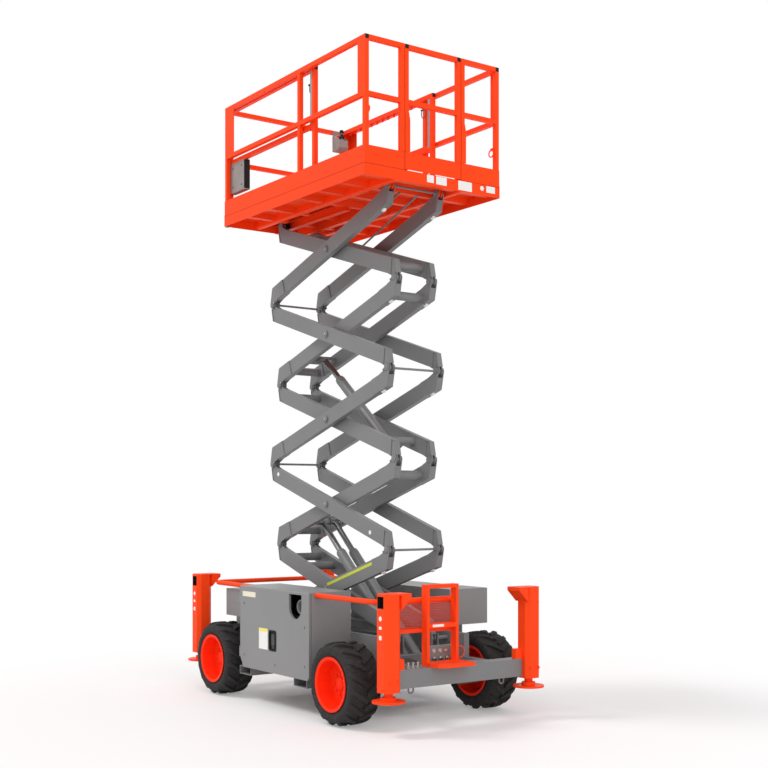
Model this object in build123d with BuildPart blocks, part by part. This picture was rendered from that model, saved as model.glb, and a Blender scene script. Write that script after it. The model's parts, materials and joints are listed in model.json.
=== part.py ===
"""Rough-terrain scissor lift with four outriggers, partly raised.

Frame: +X to the front (the end with the roll-out deck), +Y to the left, +Z up.  The origin is on the ground
under the middle of the machine.  All sizes are in millimetres and angles in degrees.
"""
import os
from math import atan2, cos, degrees, radians, sin, sqrt

from build123d import *

# ---------------------------------------------------------------- driving dimensions
# scissor pack
STAGES = 5
REST_ANGLE = 22.0          # slope of every pin line above the floor
PIN_SPAN = 2046.0          # end pin to end pin of one arm
PIN_OFFSET = 84.0          # end pins stand this far off the tube's centre line
ARM_DEPTH = 136.0
ARM_WIDTH = 50.0
ARM_WALL = 6.0
INNER_Y = 185.0            # centre plane of the inner arms
OUTER_Y = 260.0            # centre plane of the outer arms
PIN_R = 20.0
CENTRE_PIN_R = 22.0
FIT = 0.05                 # running clearance of pins in their bores
BASE_PIN = (-946.0, 647.0)  # rear foot pin, x and z

# wheels
AXLE_X = {"rear": -977.0, "front": 1078.0}
TYRE_WIDTH = 300.0
TYRE_SIDE_Y = 876.0        # outer side face of the tyres
RIM_R = 208.0
KINGPIN_Y = 680.0

# outriggers and cross beams
LEG_X = 1583.5
LEG_Y = 724.6
LEG_SIZE = 156.0
LEG_TOP = 1109.0
LEG_BOTTOM = 342.0
JACK_R = 35.0
PAD_R = 131.0
PAD_Z = 262.0              # underside of the pad, stowed
BEAM_Z = (357.0, 505.0)
BEAM_X = (1470.0, 1590.0)

# chassis and cabinets
RAIL_Y = (346.0, 400.0)    # box rails of the chassis
RAIL_Z = (500.0, 699.0)
RAIL_STEP_X = -1130.0      # behind it the rails lie lower
RAIL_LOW_Z = (380.0, 500.0)
CABINET_TOP = 1055.0
CABINET_SIDE = 824.0
CABINET_X = (-572.0, 623.0)
CABINET_BOTTOM = 325.0

# platform
DECK_X = (-1228.0, 1140.0)
DECK_HALF = 710.0
DECK_TOP_ABOVE_PIN = 61.0
SKIRT_BELOW_PIN = 32.0
TOE_ABOVE_DECK = 148.0
TOP_RAIL_ABOVE_DECK = 1036.0
MID_RAIL_ABOVE_DECK = 583.0
TUBE = 38.0                # square guard rail tube

# ---------------------------------------------------------------- derived dimensions
HALF_U = sqrt((PIN_SPAN / 2) ** 2 - PIN_OFFSET ** 2)
TUBE_TILT = degrees(atan2(PIN_OFFSET, HALF_U))
STEP_X = PIN_SPAN * cos(radians(REST_ANGLE))
STEP_Z = PIN_SPAN * sin(radians(REST_ANGLE))
MID_X = BASE_PIN[0] + STEP_X / 2
FRONT_X = BASE_PIN[0] + STEP_X
TOP_PIN_Z = BASE_PIN[1] + STAGES * STEP_Z
DECK_TOP = TOP_PIN_Z + DECK_TOP_ABOVE_PIN
SKIRT_BOTTOM = TOP_PIN_Z - SKIRT_BELOW_PIN
TOE_TOP = DECK_TOP + TOE_ABOVE_DECK
RAIL_TOP = DECK_TOP + TOP_RAIL_ABOVE_DECK
MID_RAIL = DECK_TOP + MID_RAIL_ABOVE_DECK
WHEEL_Y = TYRE_SIDE_Y - TYRE_WIDTH / 2

os.makedirs("parts", exist_ok=True)


def save(name, part):
    """Label a finished piece and write it as its own STEP file."""
    part.label = name
    export_step(part, f"parts/{name}.step")


def block(x, y, z, mode=Mode.ADD):
    """A box between two x, two y and two z values, in the current part."""
    with BuildSketch(Plane.XY.offset(min(z))) as outline:
        with Locations(((x[0] + x[1]) / 2, (y[0] + y[1]) / 2)):
            Rectangle(abs(x[1] - x[0]), abs(y[1] - y[0]))
    extrude(outline.sketch, amount=abs(z[1] - z[0]), dir=(0, 0, 1), mode=mode)


def rod_y(x, z, radius, y, mode=Mode.ADD):
    """A round bar along Y between two y values, in the current part."""
    with BuildSketch(Plane(origin=(x, min(y), z), x_dir=(1, 0, 0), z_dir=(0, 1, 0))) as disc:
        Circle(radius)
    extrude(disc.sketch, amount=abs(y[1] - y[0]), dir=(0, 1, 0), mode=mode)


# ---------------------------------------------------------------- scissor arms
END_PLATE_START = 780.0
END_BOSS_R = 36.0
FORK_T = 8.0               # fork cheeks, outside the tube
TANG_T = 8.0               # tang cheeks, inside the tube
CROSS_TUBE_R = 38.0
NODE_ROD_R = 10.0
SLIDE_Y = (114.0, 150.0)     # sides of the slide blocks under the platform


def arm_plane(kind, stage):
    """Plane of an arm: u runs up the tube, w points up.  A arms climb to the rear, B arms to the front."""
    slope = radians(REST_ANGLE - TUBE_TILT)
    centre = (MID_X, 0, BASE_PIN[1] + (stage - 0.5) * STEP_Z)
    forward = 1 if kind == "B" else -1
    return Plane(origin=centre, x_dir=(forward * cos(slope), 0, sin(slope)), z_dir=(0, -forward, 0))


def end_cheek(plane, y_low, y_high, end):
    """One cheek plate of an arm's end, end = +1 for the upper end and -1 for the lower one."""
    outline = [(END_PLATE_START, -ARM_DEPTH / 2), (END_PLATE_START, ARM_DEPTH / 2),
               (HALF_U - 120, ARM_DEPTH / 2), (HALF_U - 36, PIN_OFFSET - 4), (HALF_U, PIN_OFFSET),
               (HALF_U + 31, PIN_OFFSET - 18), (HALF_U - 45, -ARM_DEPTH / 2)]
    with BuildSketch(plane.offset(y_low)) as cheek:
        with BuildLine():
            Polyline(*[(end * u, end * w) for u, w in outline], close=True)
        make_face()
        with Locations((end * HALF_U, end * PIN_OFFSET)):
            Circle(END_BOSS_R)
    extrude(cheek.sketch, amount=y_high - y_low, dir=plane.z_dir)


def round_bar(plane, u, w, radius, y_low, y_high, mode=Mode.ADD):
    with BuildSketch(plane.offset(y_low)) as disc:
        with Locations((u, w)):
            Circle(radius)
    extrude(disc.sketch, amount=y_high - y_low, dir=plane.z_dir, mode=mode)


def arm(name, kind, stage, y_centre, cross_tubes=(), node_rods=(), extra=None):
    """Left and right arm of one scissor leg, joined by cross tubes or by thin rods at the nodes."""
    plane = arm_plane(kind, stage)
    with BuildPart() as p:
        for side in (-1, 1):
            mid = side * y_centre
            half = ARM_WIDTH / 2
            # box tube with a slanted end face at each end
            with BuildSketch(plane.offset(mid - half)):
                with BuildLine():
                    Polyline((-(HALF_U - 64), -ARM_DEPTH / 2), (HALF_U - 90, -ARM_DEPTH / 2),
                             (HALF_U - 64, ARM_DEPTH / 2), (-(HALF_U - 90), ARM_DEPTH / 2), close=True)
                make_face()
            extrude(amount=ARM_WIDTH)
            inner = half - ARM_WALL
            with BuildSketch(plane.offset(mid - inner)):
                Rectangle(2 * HALF_U, ARM_DEPTH - 2 * ARM_WALL)
            extrude(amount=2 * inner, mode=Mode.SUBTRACT)
            for end in (-1, 1):
                for face in (-1, 1):
                    if kind == "A":
                        low = mid + (half if face > 0 else -half - FORK_T)
                        end_cheek(plane, low, low + FORK_T, end)
                    else:
                        low = mid + (inner - TANG_T if face > 0 else -inner)
                        end_cheek(plane, low, low + TANG_T, end)
        for u in cross_tubes:
            reach = y_centre - ARM_WIDTH / 2 + ARM_WALL / 2
            round_bar(plane, u, 0, CROSS_TUBE_R, -reach, reach)
        for side in (-1, 1):
            mid = side * y_centre
            for end in (-1, 1):
                u, w = end * HALF_U, end * PIN_OFFSET
                if kind == "A":
                    reach = ARM_WIDTH / 2 + FORK_T
                    round_bar(plane, u, w, PIN_R, mid - reach, mid + reach)
                else:
                    round_bar(plane, u, w, PIN_R + FIT, mid - ARM_WIDTH, mid + ARM_WIDTH, Mode.SUBTRACT)
            if y_centre == INNER_Y:
                # centre pin, carried by the inner arm, through the outer one
                low, high = INNER_Y - ARM_WIDTH / 2, OUTER_Y + ARM_WIDTH / 2 + 6
                low, high = (low, high) if side > 0 else (-high, -low)
                round_bar(plane, 0, 0, CENTRE_PIN_R, low, high)
            else:
                round_bar(plane, 0, 0, CENTRE_PIN_R + FIT, mid - ARM_WIDTH, mid + ARM_WIDTH, Mode.SUBTRACT)
        for end in node_rods:
            reach = OUTER_Y - ARM_WIDTH / 2 - FORK_T / 2
            round_bar(plane, end * HALF_U, end * PIN_OFFSET, NODE_ROD_R, -reach, reach)
        if extra:
            extra(plane)
    save(name, p.part)


# cylinder eyes, in the (u, w) frame of the arm that carries them
LOW_EYE = (-430.0, -40.0)      # top eye of the lower pair, on A2
LOW_EYE_Y = (-68.0, 68.0)      # centre planes of the two lower cylinders
LOW_BASE = (-950.0, 450.0)     # x and z of its foot eye, on the chassis
UP_TOP_EYE = (-490.0, -30.0)   # top eye of the upper cylinder, on A4
UP_FOOT_EYE = (-675.0, -80.0)  # foot eye of the upper cylinder, on B3
EYE_PIN_R = 18.0
EYE_WIDTH = 92.0
LUG_T = 12.0
LUG_Y = EYE_WIDTH / 2 + 8      # centre plane of each lug, from the cylinder's own plane
PIN_HEAD = 5.0


def eye_lugs(plane, eye, carrier, eye_ys, through):
    """A pair of lugs beside each eye, from a cross tube at (carrier, 0).

    The pin runs through where the cylinder's foot turns on it.  At a rod's eye, whose linkage is open, each lug
    has only its own end of the pin, and the eye holds the middle of it.
    """
    u, w = eye
    for eye_y in eye_ys:
        for side in (-1, 1):
            y = eye_y + side * LUG_Y
            with BuildSketch(plane.offset(y - LUG_T / 2)) as lug:
                with BuildLine():
                    Polyline((carrier - 36, -8), (carrier + 36, -8), (u + 30, w), (u, w - 30), (u - 30, w),
                             close=True)
                make_face()
                with Locations((u, w)):
                    Circle(32)
            extrude(lug.sketch, amount=LUG_T, dir=plane.z_dir)
            if not through:
                head = y + side * LUG_T / 2
                round_bar(plane, u, w, EYE_PIN_R, min(head, head + side * PIN_HEAD), max(head, head + side * PIN_HEAD))
        if through:
            reach = LUG_Y + LUG_T / 2 + PIN_HEAD
            round_bar(plane, u, w, EYE_PIN_R, eye_y - reach, eye_y + reach)


def low_top_lugs(plane):
    eye_lugs(plane, LOW_EYE, -510.0, LOW_EYE_Y, False)


def up_top_lugs(plane):
    eye_lugs(plane, UP_TOP_EYE, -580.0, (0.0,), False)


def up_foot_lugs(plane):
    eye_lugs(plane, UP_FOOT_EYE, -735.0, (0.0,), True)


def base_pins(plane):
    """Long pins at A1's lower end for the rollers of the base track."""
    for low, high in ((OUTER_Y, 331.0), (-331.0, -OUTER_Y)):
        round_bar(plane, -HALF_U, -PIN_OFFSET, PIN_R, low, high)


def top_pins(plane):
    """Long pins at B5's upper end, inward to the slide blocks under the platform."""
    for low, high in ((SLIDE_Y[0] - 2, INNER_Y + 19), (-(INNER_Y + 19), -(SLIDE_Y[0] - 2))):
        round_bar(plane, HALF_U, PIN_OFFSET, CENTRE_PIN_R, low, high)


# name, kind, stage, y plane, cross tubes (u), ends that carry a thin rod, extra pieces
ARMS = [
    ("arm_b1_inner", "B", 1, INNER_Y, (600, 860), (), None),
    ("arm_a1_outer", "A", 1, OUTER_Y, (), (-1, 1), base_pins),
    ("arm_a2_inner", "A", 2, INNER_Y, (-860, -510, 860), (), low_top_lugs),
    ("arm_b2_outer", "B", 2, OUTER_Y, (), (), None),
    ("arm_b3_inner", "B", 3, INNER_Y, (-735, 860), (), up_foot_lugs),
    ("arm_a3_outer", "A", 3, OUTER_Y, (), (-1, 1), None),
    ("arm_a4_inner", "A", 4, INNER_Y, (-860, -580, 860), (), up_top_lugs),
    ("arm_b4_outer", "B", 4, OUTER_Y, (), (), None),
    ("arm_b5_inner", "B", 5, INNER_Y, (-860, 860), (), top_pins),
    ("arm_a5_outer", "A", 5, OUTER_Y, (), (-1, 1), None),
]
for row in ARMS:
    arm(*row)


# ---------------------------------------------------------------- lift cylinders
def eye_point(kind, stage, eye):
    """World x and z of an eye given in its arm's (u, w) frame."""
    point = arm_plane(kind, stage).from_local_coords((eye[0], eye[1], 0))
    return point.X, point.Z


def cylinder_plane(foot, top, y):
    """Plane at the foot eye whose normal runs to the top eye."""
    direction = Vector(top[0] - foot[0], 0, top[1] - foot[1])
    return Plane(origin=(foot[0], y, foot[1]), x_dir=(0, 1, 0), z_dir=direction), direction.length


BARREL_R = 45.0
ROD_R = 27.0
EYE_R = 32.0


def eye_ring(x, z, y, width=EYE_WIDTH):
    """Boss with a bore for the eye pin, along Y."""
    rod_y(x, z, EYE_R, (y - width / 2, y + width / 2))


def eye_bore(x, z, y, width=EYE_WIDTH):
    rod_y(x, z, EYE_PIN_R + FIT, (y - width / 2 - 1, y + width / 2 + 1), Mode.SUBTRACT)


def cylinder(name, foot, top, ys, barrel_length, rod_length):
    """Barrels and rods of one lift cylinder, or of a pair side by side."""
    with BuildPart() as barrels:
        for y in ys:
            plane, length = cylinder_plane(foot, top, y)
            with BuildSketch(plane.offset(EYE_R - 4)) as disc:
                Circle(BARREL_R)
            extrude(disc.sketch, amount=barrel_length, dir=plane.z_dir)
            # gland collar at the open end
            with BuildSketch(plane.offset(EYE_R - 4 + barrel_length)) as collar:
                Circle(BARREL_R - 4)
            extrude(collar.sketch, amount=18, dir=plane.z_dir)
            eye_ring(*foot, y)
            # bore for the rod
            with BuildSketch(plane.offset(EYE_R + 40)) as bore:
                Circle(ROD_R + 0.3)
            extrude(bore.sketch, amount=barrel_length, dir=plane.z_dir, mode=Mode.SUBTRACT)
            eye_bore(*foot, y)
    save(name + "_barrel", barrels.part)
    with BuildPart() as rods:
        for y in ys:
            plane, length = cylinder_plane(foot, top, y)
            with BuildSketch(plane.offset(length - EYE_R + 6 - rod_length)) as disc:
                Circle(ROD_R)
            extrude(disc.sketch, amount=rod_length, dir=plane.z_dir)
            eye_ring(*top, y)
    save(name + "_rod", rods.part)


cylinder("lower_cylinder", LOW_BASE, eye_point("A", 2, LOW_EYE), LOW_EYE_Y, 1340.0, 1340.0)
cylinder("upper_cylinder", eye_point("B", 3, UP_FOOT_EYE), eye_point("A", 4, UP_TOP_EYE), (0.0,), 1020.0, 1020.0)

# ---------------------------------------------------------------- wheels
TYRE_FACETS = 20
BORE_FACETS = 32           # flats of the bore, which lie on the rim
BEAD = (232.0, 17.0)       # recess of the rim's flange, radius and depth
TYRE_R = 318.0             # to the corners of the carcass
SHOULDER = (30.0, 55.0)    # bevel of the sidewall, across and inward
LUG_COUNT = 16             # lugs per row, two rows
LUG_PROFILE = [(-80, 300), (-80, 336), (40, 336), (79, 300)]  # along the lug, and radius
LUG_WIDTH = 42.0
LUG_SKEW = 34.0
LUG_ROW_Y = 72.0
ACROSS = Plane(origin=(0, 0, 0), x_dir=(1, 0, 0), z_dir=(0, 1, 0))   # XZ plane that looks along +Y

with BuildPart() as tyre:
    with BuildSketch(ACROSS.offset(-TYRE_WIDTH / 2)):
        RegularPolygon(TYRE_R, TYRE_FACETS)
    extrude(amount=TYRE_WIDTH)
    for sidewall in (tyre.faces().sort_by(Axis.Y)[0], tyre.faces().sort_by(Axis.Y)[-1]):
        chamfer(sidewall.outer_wire().edges(), length=SHOULDER[0], length2=SHOULDER[1], reference=sidewall)
    with BuildSketch(ACROSS.offset(-TYRE_WIDTH / 2)) as bore:
        RegularPolygon(RIM_R, BORE_FACETS, major_radius=False)
    extrude(bore.sketch, amount=TYRE_WIDTH, dir=(0, 1, 0), mode=Mode.SUBTRACT)
    for side in (-1, 1):
        with BuildSketch(ACROSS.offset(side * TYRE_WIDTH / 2)) as bead:
            RegularPolygon(BEAD[0], TYRE_FACETS)
        extrude(bead.sketch, amount=BEAD[1], dir=(0, -side, 0), mode=Mode.SUBTRACT)
    # chevron lugs, each a bar whose outer end falls away over the shoulder
    for row in (-1, 1):
        for i in range(LUG_COUNT):
            turn = 360.0 / LUG_COUNT * (i + (0.5 if row > 0 else 0.0))
            spot = Rotation(0, turn, 0) * Location((0, row * LUG_ROW_Y, 0)) * Rotation(0, 0, row * (90 - LUG_SKEW))
            with BuildSketch(Plane(spot * Location((0, -LUG_WIDTH / 2, 0)) * Location(ACROSS))) as lug:
                with BuildLine():
                    Polyline(*[(along, -radius) for along, radius in LUG_PROFILE], close=True)
                make_face()
            extrude(lug.sketch, amount=LUG_WIDTH, dir=lug.sketch.face().normal_at())
AXLE_Z = -tyre.part.bounding_box().min.Z

with BuildPart() as rim:
    with BuildSketch(Plane.XY) as section:
        with BuildLine():
            Polyline((RIM_R, -134), (222, -140), (222, -146), (198, -140), (190, -60), (190, 16), (60, 16), (60, 30),
                     (190, 30), (198, 146), (224, 152), (224, 143), (RIM_R, 134), close=True)
        make_face()
    revolve(section.sketch, Axis.Y)
    with BuildSketch(Plane.XZ.offset(-16)) as hub_disc:
        Circle(70)
    extrude(hub_disc.sketch, amount=14, dir=(0, 1, 0))

WHEELS = [("rear_left", "rear", 1), ("rear_right", "rear", -1), ("front_left", "front", 1), ("front_right", "front", -1)]
for where, axle, side in WHEELS:
    spot = Location((AXLE_X[axle], side * WHEEL_Y, AXLE_Z))
    for name, piece in (("tyre", tyre.part), ("rim", rim.part)):
        if side < 0:
            piece = piece.mirror(Plane.XZ)
        save(f"{name}_{where}", spot * piece)

# ---------------------------------------------------------------- axles and knuckles
with BuildPart() as rear_axle:
    block((AXLE_X["rear"] - 60, AXLE_X["rear"] + 60), (-470, 470), (AXLE_Z - 60, AXLE_Z + 60))
    for side in (-1, 1):
        rod_y(AXLE_X["rear"], AXLE_Z, 110, (side * 470, side * 640))
        rod_y(AXLE_X["rear"], AXLE_Z, 60, (side * 640, side * (WHEEL_Y + 15)))
save("rear_axle", rear_axle.part)

with BuildPart() as front_axle:
    block((AXLE_X["front"] - 55, AXLE_X["front"] + 55), (-560, 560), (AXLE_Z - 62, AXLE_Z + 62))
    for side in (-1, 1):
        for low in (-108, 84):
            block((AXLE_X["front"] - 38, AXLE_X["front"] + 38), (side * 520, side * (KINGPIN_Y + 34)),
                  (AXLE_Z + low, AXLE_Z + low + 24))
        block((AXLE_X["front"] - 50, AXLE_X["front"] + 50), (side * 520, side * 575), (AXLE_Z - 108, AXLE_Z + 108))
        with BuildSketch(Plane.XY.offset(AXLE_Z - 120)) as bore:
            with Locations((AXLE_X["front"], side * KINGPIN_Y)):
                Circle(PIN_R + FIT)
        extrude(bore.sketch, amount=240, dir=(0, 0, 1), mode=Mode.SUBTRACT)
save("front_axle", front_axle.part)

for where, side in (("left", 1), ("right", -1)):
    with BuildPart() as knuckle:
        block((AXLE_X["front"] - 38, AXLE_X["front"] + 38), (side * (KINGPIN_Y - 45), side * (KINGPIN_Y + 38)),
              (AXLE_Z - 82, AXLE_Z + 82))
        with BuildSketch(Plane.XY.offset(AXLE_Z - 112)) as pin:
            with Locations((AXLE_X["front"], side * KINGPIN_Y)):
                Circle(PIN_R)
        extrude(pin.sketch, amount=224, dir=(0, 0, 1))
        rod_y(AXLE_X["front"], AXLE_Z, 60, (side * KINGPIN_Y, side * (WHEEL_Y + 15)))
    save(f"knuckle_{where}", knuckle.part)

# ---------------------------------------------------------------- chassis
POCKET_X = (-385.0, 575.0)
POCKET_Z = (240.0, 315.0)
with BuildPart() as chassis:
    for side in (-1, 1):
        block((RAIL_STEP_X - 60, BEAM_X[0]), (side * RAIL_Y[0], side * RAIL_Y[1]), RAIL_Z)
        block((-BEAM_X[0], RAIL_STEP_X + 60), (side * RAIL_Y[0], side * RAIL_Y[1]), RAIL_LOW_Z)
        # roller track, a channel open to the middle, on the front half
        for low in (BASE_PIN[1] - 52, BASE_PIN[1] + 44):
            block((20, 1170), (side * 302, side * RAIL_Y[0]), (low, low + 8))
        # lugs of the rear foot pins
        for low in (INNER_Y - 40, INNER_Y + 26):
            block((BASE_PIN[0] - 50, BASE_PIN[0] + 50), (side * low, side * (low + 14)),
                  (540, BASE_PIN[1] + 45))
        rod_y(*BASE_PIN, PIN_R, (side * (INNER_Y - 40), side * RAIL_Y[0]))
        # stays down to the axles
        block((AXLE_X["rear"] - 50, AXLE_X["rear"] + 50), (side * RAIL_Y[0], side * RAIL_Y[1]), (AXLE_Z + 60, RAIL_Z[0]))
        block((AXLE_X["front"] - 50, AXLE_X["front"] + 50), (side * RAIL_Y[0], side * RAIL_Y[1]),
              (AXLE_Z + 62, RAIL_Z[0]))
    # cross members
    for x, z in (((-1470, -1380), (460, 500)), ((-1090, -1010), (430, 540)),
                 ((1240, 1330), (500, 540))):
        block(x, (-RAIL_Y[0], RAIL_Y[0]), z)
    block((-1440, -1385), (-60, 250), (500, 650))   # valve box on the rear cross member
    for side in (-1, 1):
        block((-1090, -1010), (side * RAIL_Y[0], side * RAIL_Y[1]), (430, RAIL_Z[0]))
        for x in POCKET_X:
            block((x - 90, x + 90), (side * RAIL_Y[0], side * RAIL_Y[1]), (POCKET_Z[1], RAIL_Z[0]))
    # foot lugs and pin of the lower cylinders
    for y in [y + s * LUG_Y for y in LOW_EYE_Y for s in (-1, 1)]:
        block((-1012, LOW_BASE[0] + 28), (y - LUG_T / 2, y + LUG_T / 2), (LOW_BASE[1] - 32, LOW_BASE[1] + 32))
    rod_y(*LOW_BASE, EYE_PIN_R, (LOW_EYE_Y[0] - LUG_Y, LOW_EYE_Y[1] + LUG_Y))
save("chassis_frame", chassis.part)

# ---------------------------------------------------------------- cross beams and outriggers
CAP_INNER_Y = 558.0
CAP_T = 12.0
GUSSET_Z = 985.0
LEG_HALF = LEG_SIZE / 2
LEG_CHAMFER = 33.0
PORT = (84.0, 94.0, 52.0)  # window in the outer face, under the cap: width, height, depth
BRACKET_Y = 578.0          # inner side of the bracket that stands on the beam
for end, sign in (("rear", -1), ("front", 1)):
    with BuildPart() as beam:
        block((sign * BEAM_X[0], sign * BEAM_X[1]), (-(LEG_Y - LEG_HALF), LEG_Y - LEG_HALF), BEAM_Z)
    save(f"{end}_beam", beam.part)

with BuildPart() as housings:
    for sign in (-1, 1):
        x_range = (sign * LEG_X - LEG_HALF, sign * LEG_X + LEG_HALF)
        for side in (-1, 1):
            # octagonal tube, solid round the jack's bore
            with BuildSketch(Plane.XY.offset(LEG_BOTTOM)) as tube:
                with Locations((sign * LEG_X, side * LEG_Y)):
                    Rectangle(LEG_SIZE, LEG_SIZE)
                chamfer(tube.vertices(), LEG_CHAMFER)
            extrude(tube.sketch, amount=LEG_TOP - CAP_T - LEG_BOTTOM, dir=(0, 0, 1))
            # gusset and flat cap that reach inward
            gusset_plane = Plane(origin=(x_range[0], 0, 0), x_dir=(0, 1, 0), z_dir=(1, 0, 0))
            with BuildSketch(gusset_plane) as gusset:
                with BuildLine():
                    Polyline((side * (LEG_Y - LEG_HALF + 5), LEG_TOP - CAP_T), (side * CAP_INNER_Y, LEG_TOP - CAP_T),
                             (side * CAP_INNER_Y, LEG_TOP - 30), (side * (LEG_Y - LEG_HALF + 5), GUSSET_Z), close=True)
                make_face()
            extrude(gusset.sketch, amount=LEG_SIZE, dir=(1, 0, 0))
            outer = LEG_Y + LEG_HALF
            with BuildSketch(Plane.XY.offset(LEG_TOP - CAP_T)) as cap:
                with Locations((sign * LEG_X, side * (CAP_INNER_Y + outer) / 2)):
                    Rectangle(LEG_SIZE, outer - CAP_INNER_Y)
                chamfer(cap.vertices().group_by(Axis.Y)[-1 if side > 0 else 0], LEG_CHAMFER)
            extrude(cap.sketch, amount=CAP_T, dir=(0, 0, 1))
            block((sign * (LEG_X - 45), sign * BEAM_X[1]), (side * BRACKET_Y, side * (LEG_Y - LEG_HALF + 5)),
                  (BEAM_Z[1], BEAM_Z[1] + 84))
            # window and jack bore
            block((sign * LEG_X - PORT[0] / 2, sign * LEG_X + PORT[0] / 2), (side * (outer - PORT[2]), side * (outer + 1)),
                  (LEG_TOP - CAP_T - 8 - PORT[1], LEG_TOP - CAP_T - 8), Mode.SUBTRACT)
            with BuildSketch(Plane.XY.offset(LEG_BOTTOM - 1)) as bore:
                with Locations((sign * LEG_X, side * LEG_Y)):
                    Circle(JACK_R + 0.3)
            extrude(bore.sketch, amount=640, dir=(0, 0, 1), mode=Mode.SUBTRACT)
save("outrigger_housings", housings.part)

for end, sign in (("rear", -1), ("front", 1)):
    for side, where in ((1, "left"), (-1, "right")):
        with BuildPart() as leg:
            with Locations((sign * LEG_X, side * LEG_Y, PAD_Z)):
                Cylinder(PAD_R, 16, align=(Align.CENTER, Align.CENTER, Align.MIN))
                Cylinder(58, 44, align=(Align.CENTER, Align.CENTER, Align.MIN))
                Cylinder(JACK_R, 680, align=(Align.CENTER, Align.CENTER, Align.MIN))
        save(f"jack_{end}_{where}", leg.part)

# ---------------------------------------------------------------- cabinets
WALL = 6.0
DOOR_T = 20.0
DOOR_GAP = 5.0
CABINET_INNER_Y = 400.0
HINGE_PIN = (CABINET_X[1] + 10, CABINET_SIDE - 12)
HINGE_R = 12.0
HINGE_PIN_R = 6.0
HINGE_HEIGHTS = (450.0, 930.0)
DOOR_WINDOW = (-351.0, 922.0, 102.0, 108.0)  # x, z of the round part, its radius, height of the square part above
LATCH = (33.0, 599.0, 140.0, 186.0)          # x, z, width, height
LATCH_DEPTH = 12.0


def upright(x, y, radius, z, mode=Mode.ADD):
    """A round bar along Z between two heights, in the current part."""
    with BuildSketch(Plane.XY.offset(min(z))) as disc:
        with Locations((x, y)):
            Circle(radius)
    extrude(disc.sketch, amount=abs(z[1] - z[0]), dir=(0, 0, 1), mode=mode)


for where, side in (("left", 1), ("right", -1)):
    pin = (HINGE_PIN[0], side * HINGE_PIN[1])
    with BuildPart() as cabinet:
        block(CABINET_X, (side * CABINET_INNER_Y, side * (CABINET_SIDE - DOOR_T - DOOR_GAP)),
              (CABINET_BOTTOM, CABINET_TOP))
        block((CABINET_X[0] + WALL, CABINET_X[1] - WALL), (side * (CABINET_INNER_Y + WALL), side * CABINET_SIDE),
              (CABINET_BOTTOM + WALL, CABINET_TOP - WALL), Mode.SUBTRACT)
        # hinge lugs and pins at the front edge
        for z in HINGE_HEIGHTS:
            for low in (z - 46, z + 34):
                block((CABINET_X[1], pin[0] + HINGE_R), (side * 770, pin[1]), (low, low + 12))
                upright(*pin, HINGE_R, (low, low + 12))
            upright(*pin, HINGE_PIN_R, (z - 46, z + 46))
    save(f"cabinet_{where}", cabinet.part)
    with BuildPart() as door:
        # side panel with cut lower corners and a rounded top edge
        front, rear, low = CABINET_X[1] - DOOR_GAP, CABINET_X[0], CABINET_BOTTOM - 10
        with BuildSketch(Plane.XZ.offset(-side * (CABINET_SIDE - DOOR_T))) as panel:
            with BuildLine():
                Polyline((rear, low + 30), (rear, CABINET_TOP), (front, CABINET_TOP), (front, low + 93),
                         (front - 63, low), (rear + 27, low), close=True)
            make_face()
        extrude(panel.sketch, amount=DOOR_T, dir=(0, side, 0))
        top_edge = [e for e in door.edges().filter_by(Axis.X).group_by(Axis.Z)[-1]
                    if abs(abs(e.center().Y) - CABINET_SIDE) < 1]
        fillet(top_edge, 12)
        # D-shaped opening near the top and a latch recess, on the left door
        if side > 0:
            with BuildSketch(Plane.XZ.offset(-side * (CABINET_SIDE + 1))) as window:
                with Locations((DOOR_WINDOW[0], DOOR_WINDOW[1])):
                    Circle(DOOR_WINDOW[2])
                with Locations((DOOR_WINDOW[0], DOOR_WINDOW[1] + DOOR_WINDOW[3] / 2)):
                    Rectangle(2 * DOOR_WINDOW[2], DOOR_WINDOW[3])
            extrude(window.sketch, amount=DOOR_T + 2, dir=(0, -side, 0), mode=Mode.SUBTRACT)
        with BuildSketch(Plane.XZ.offset(-side * CABINET_SIDE)) as latch:
            with Locations((LATCH[0], LATCH[1])):
                RectangleRounded(LATCH[2], LATCH[3], 26)
        extrude(latch.sketch, amount=LATCH_DEPTH, dir=(0, -side, 0), mode=Mode.SUBTRACT)
        for z in HINGE_HEIGHTS:
            block((CABINET_X[1] - DOOR_GAP - 1, pin[0]), (pin[1], side * CABINET_SIDE), (z - 30, z + 30))
            upright(*pin, HINGE_R, (z - 30, z + 30))
            upright(*pin, HINGE_PIN_R + FIT, (z - 31, z + 31), Mode.SUBTRACT)
    save(f"door_{where}", door.part)

with BuildPart() as engine:
    block((-420, 300), (470, 760), (CABINET_BOTTOM + WALL, 831))
save("engine_block", engine.part)
with BuildPart() as tank:
    block((-420, 250), (-760, -470), (CABINET_BOTTOM + WALL, 831))
save("hydraulic_tank", tank.part)

with BuildPart() as front_box:
    block((CABINET_X[1], 1230), (CABINET_INNER_Y, 640), (730, 985))
save("front_box", front_box.part)
with BuildPart() as rear_box:
    block((-925, CABINET_X[0]), (-CABINET_SIDE, -CABINET_INNER_Y), (742, CABINET_TOP))
save("rear_box", rear_box.part)

with BuildPart() as pockets:
    for x in POCKET_X:
        block((x - 105, x + 105), (-795, 795), POCKET_Z)
        block((x - 97, x + 97), (-801, 801), (POCKET_Z[0] + 8, POCKET_Z[1] - 8), Mode.SUBTRACT)
save("fork_pockets", pockets.part)

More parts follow.
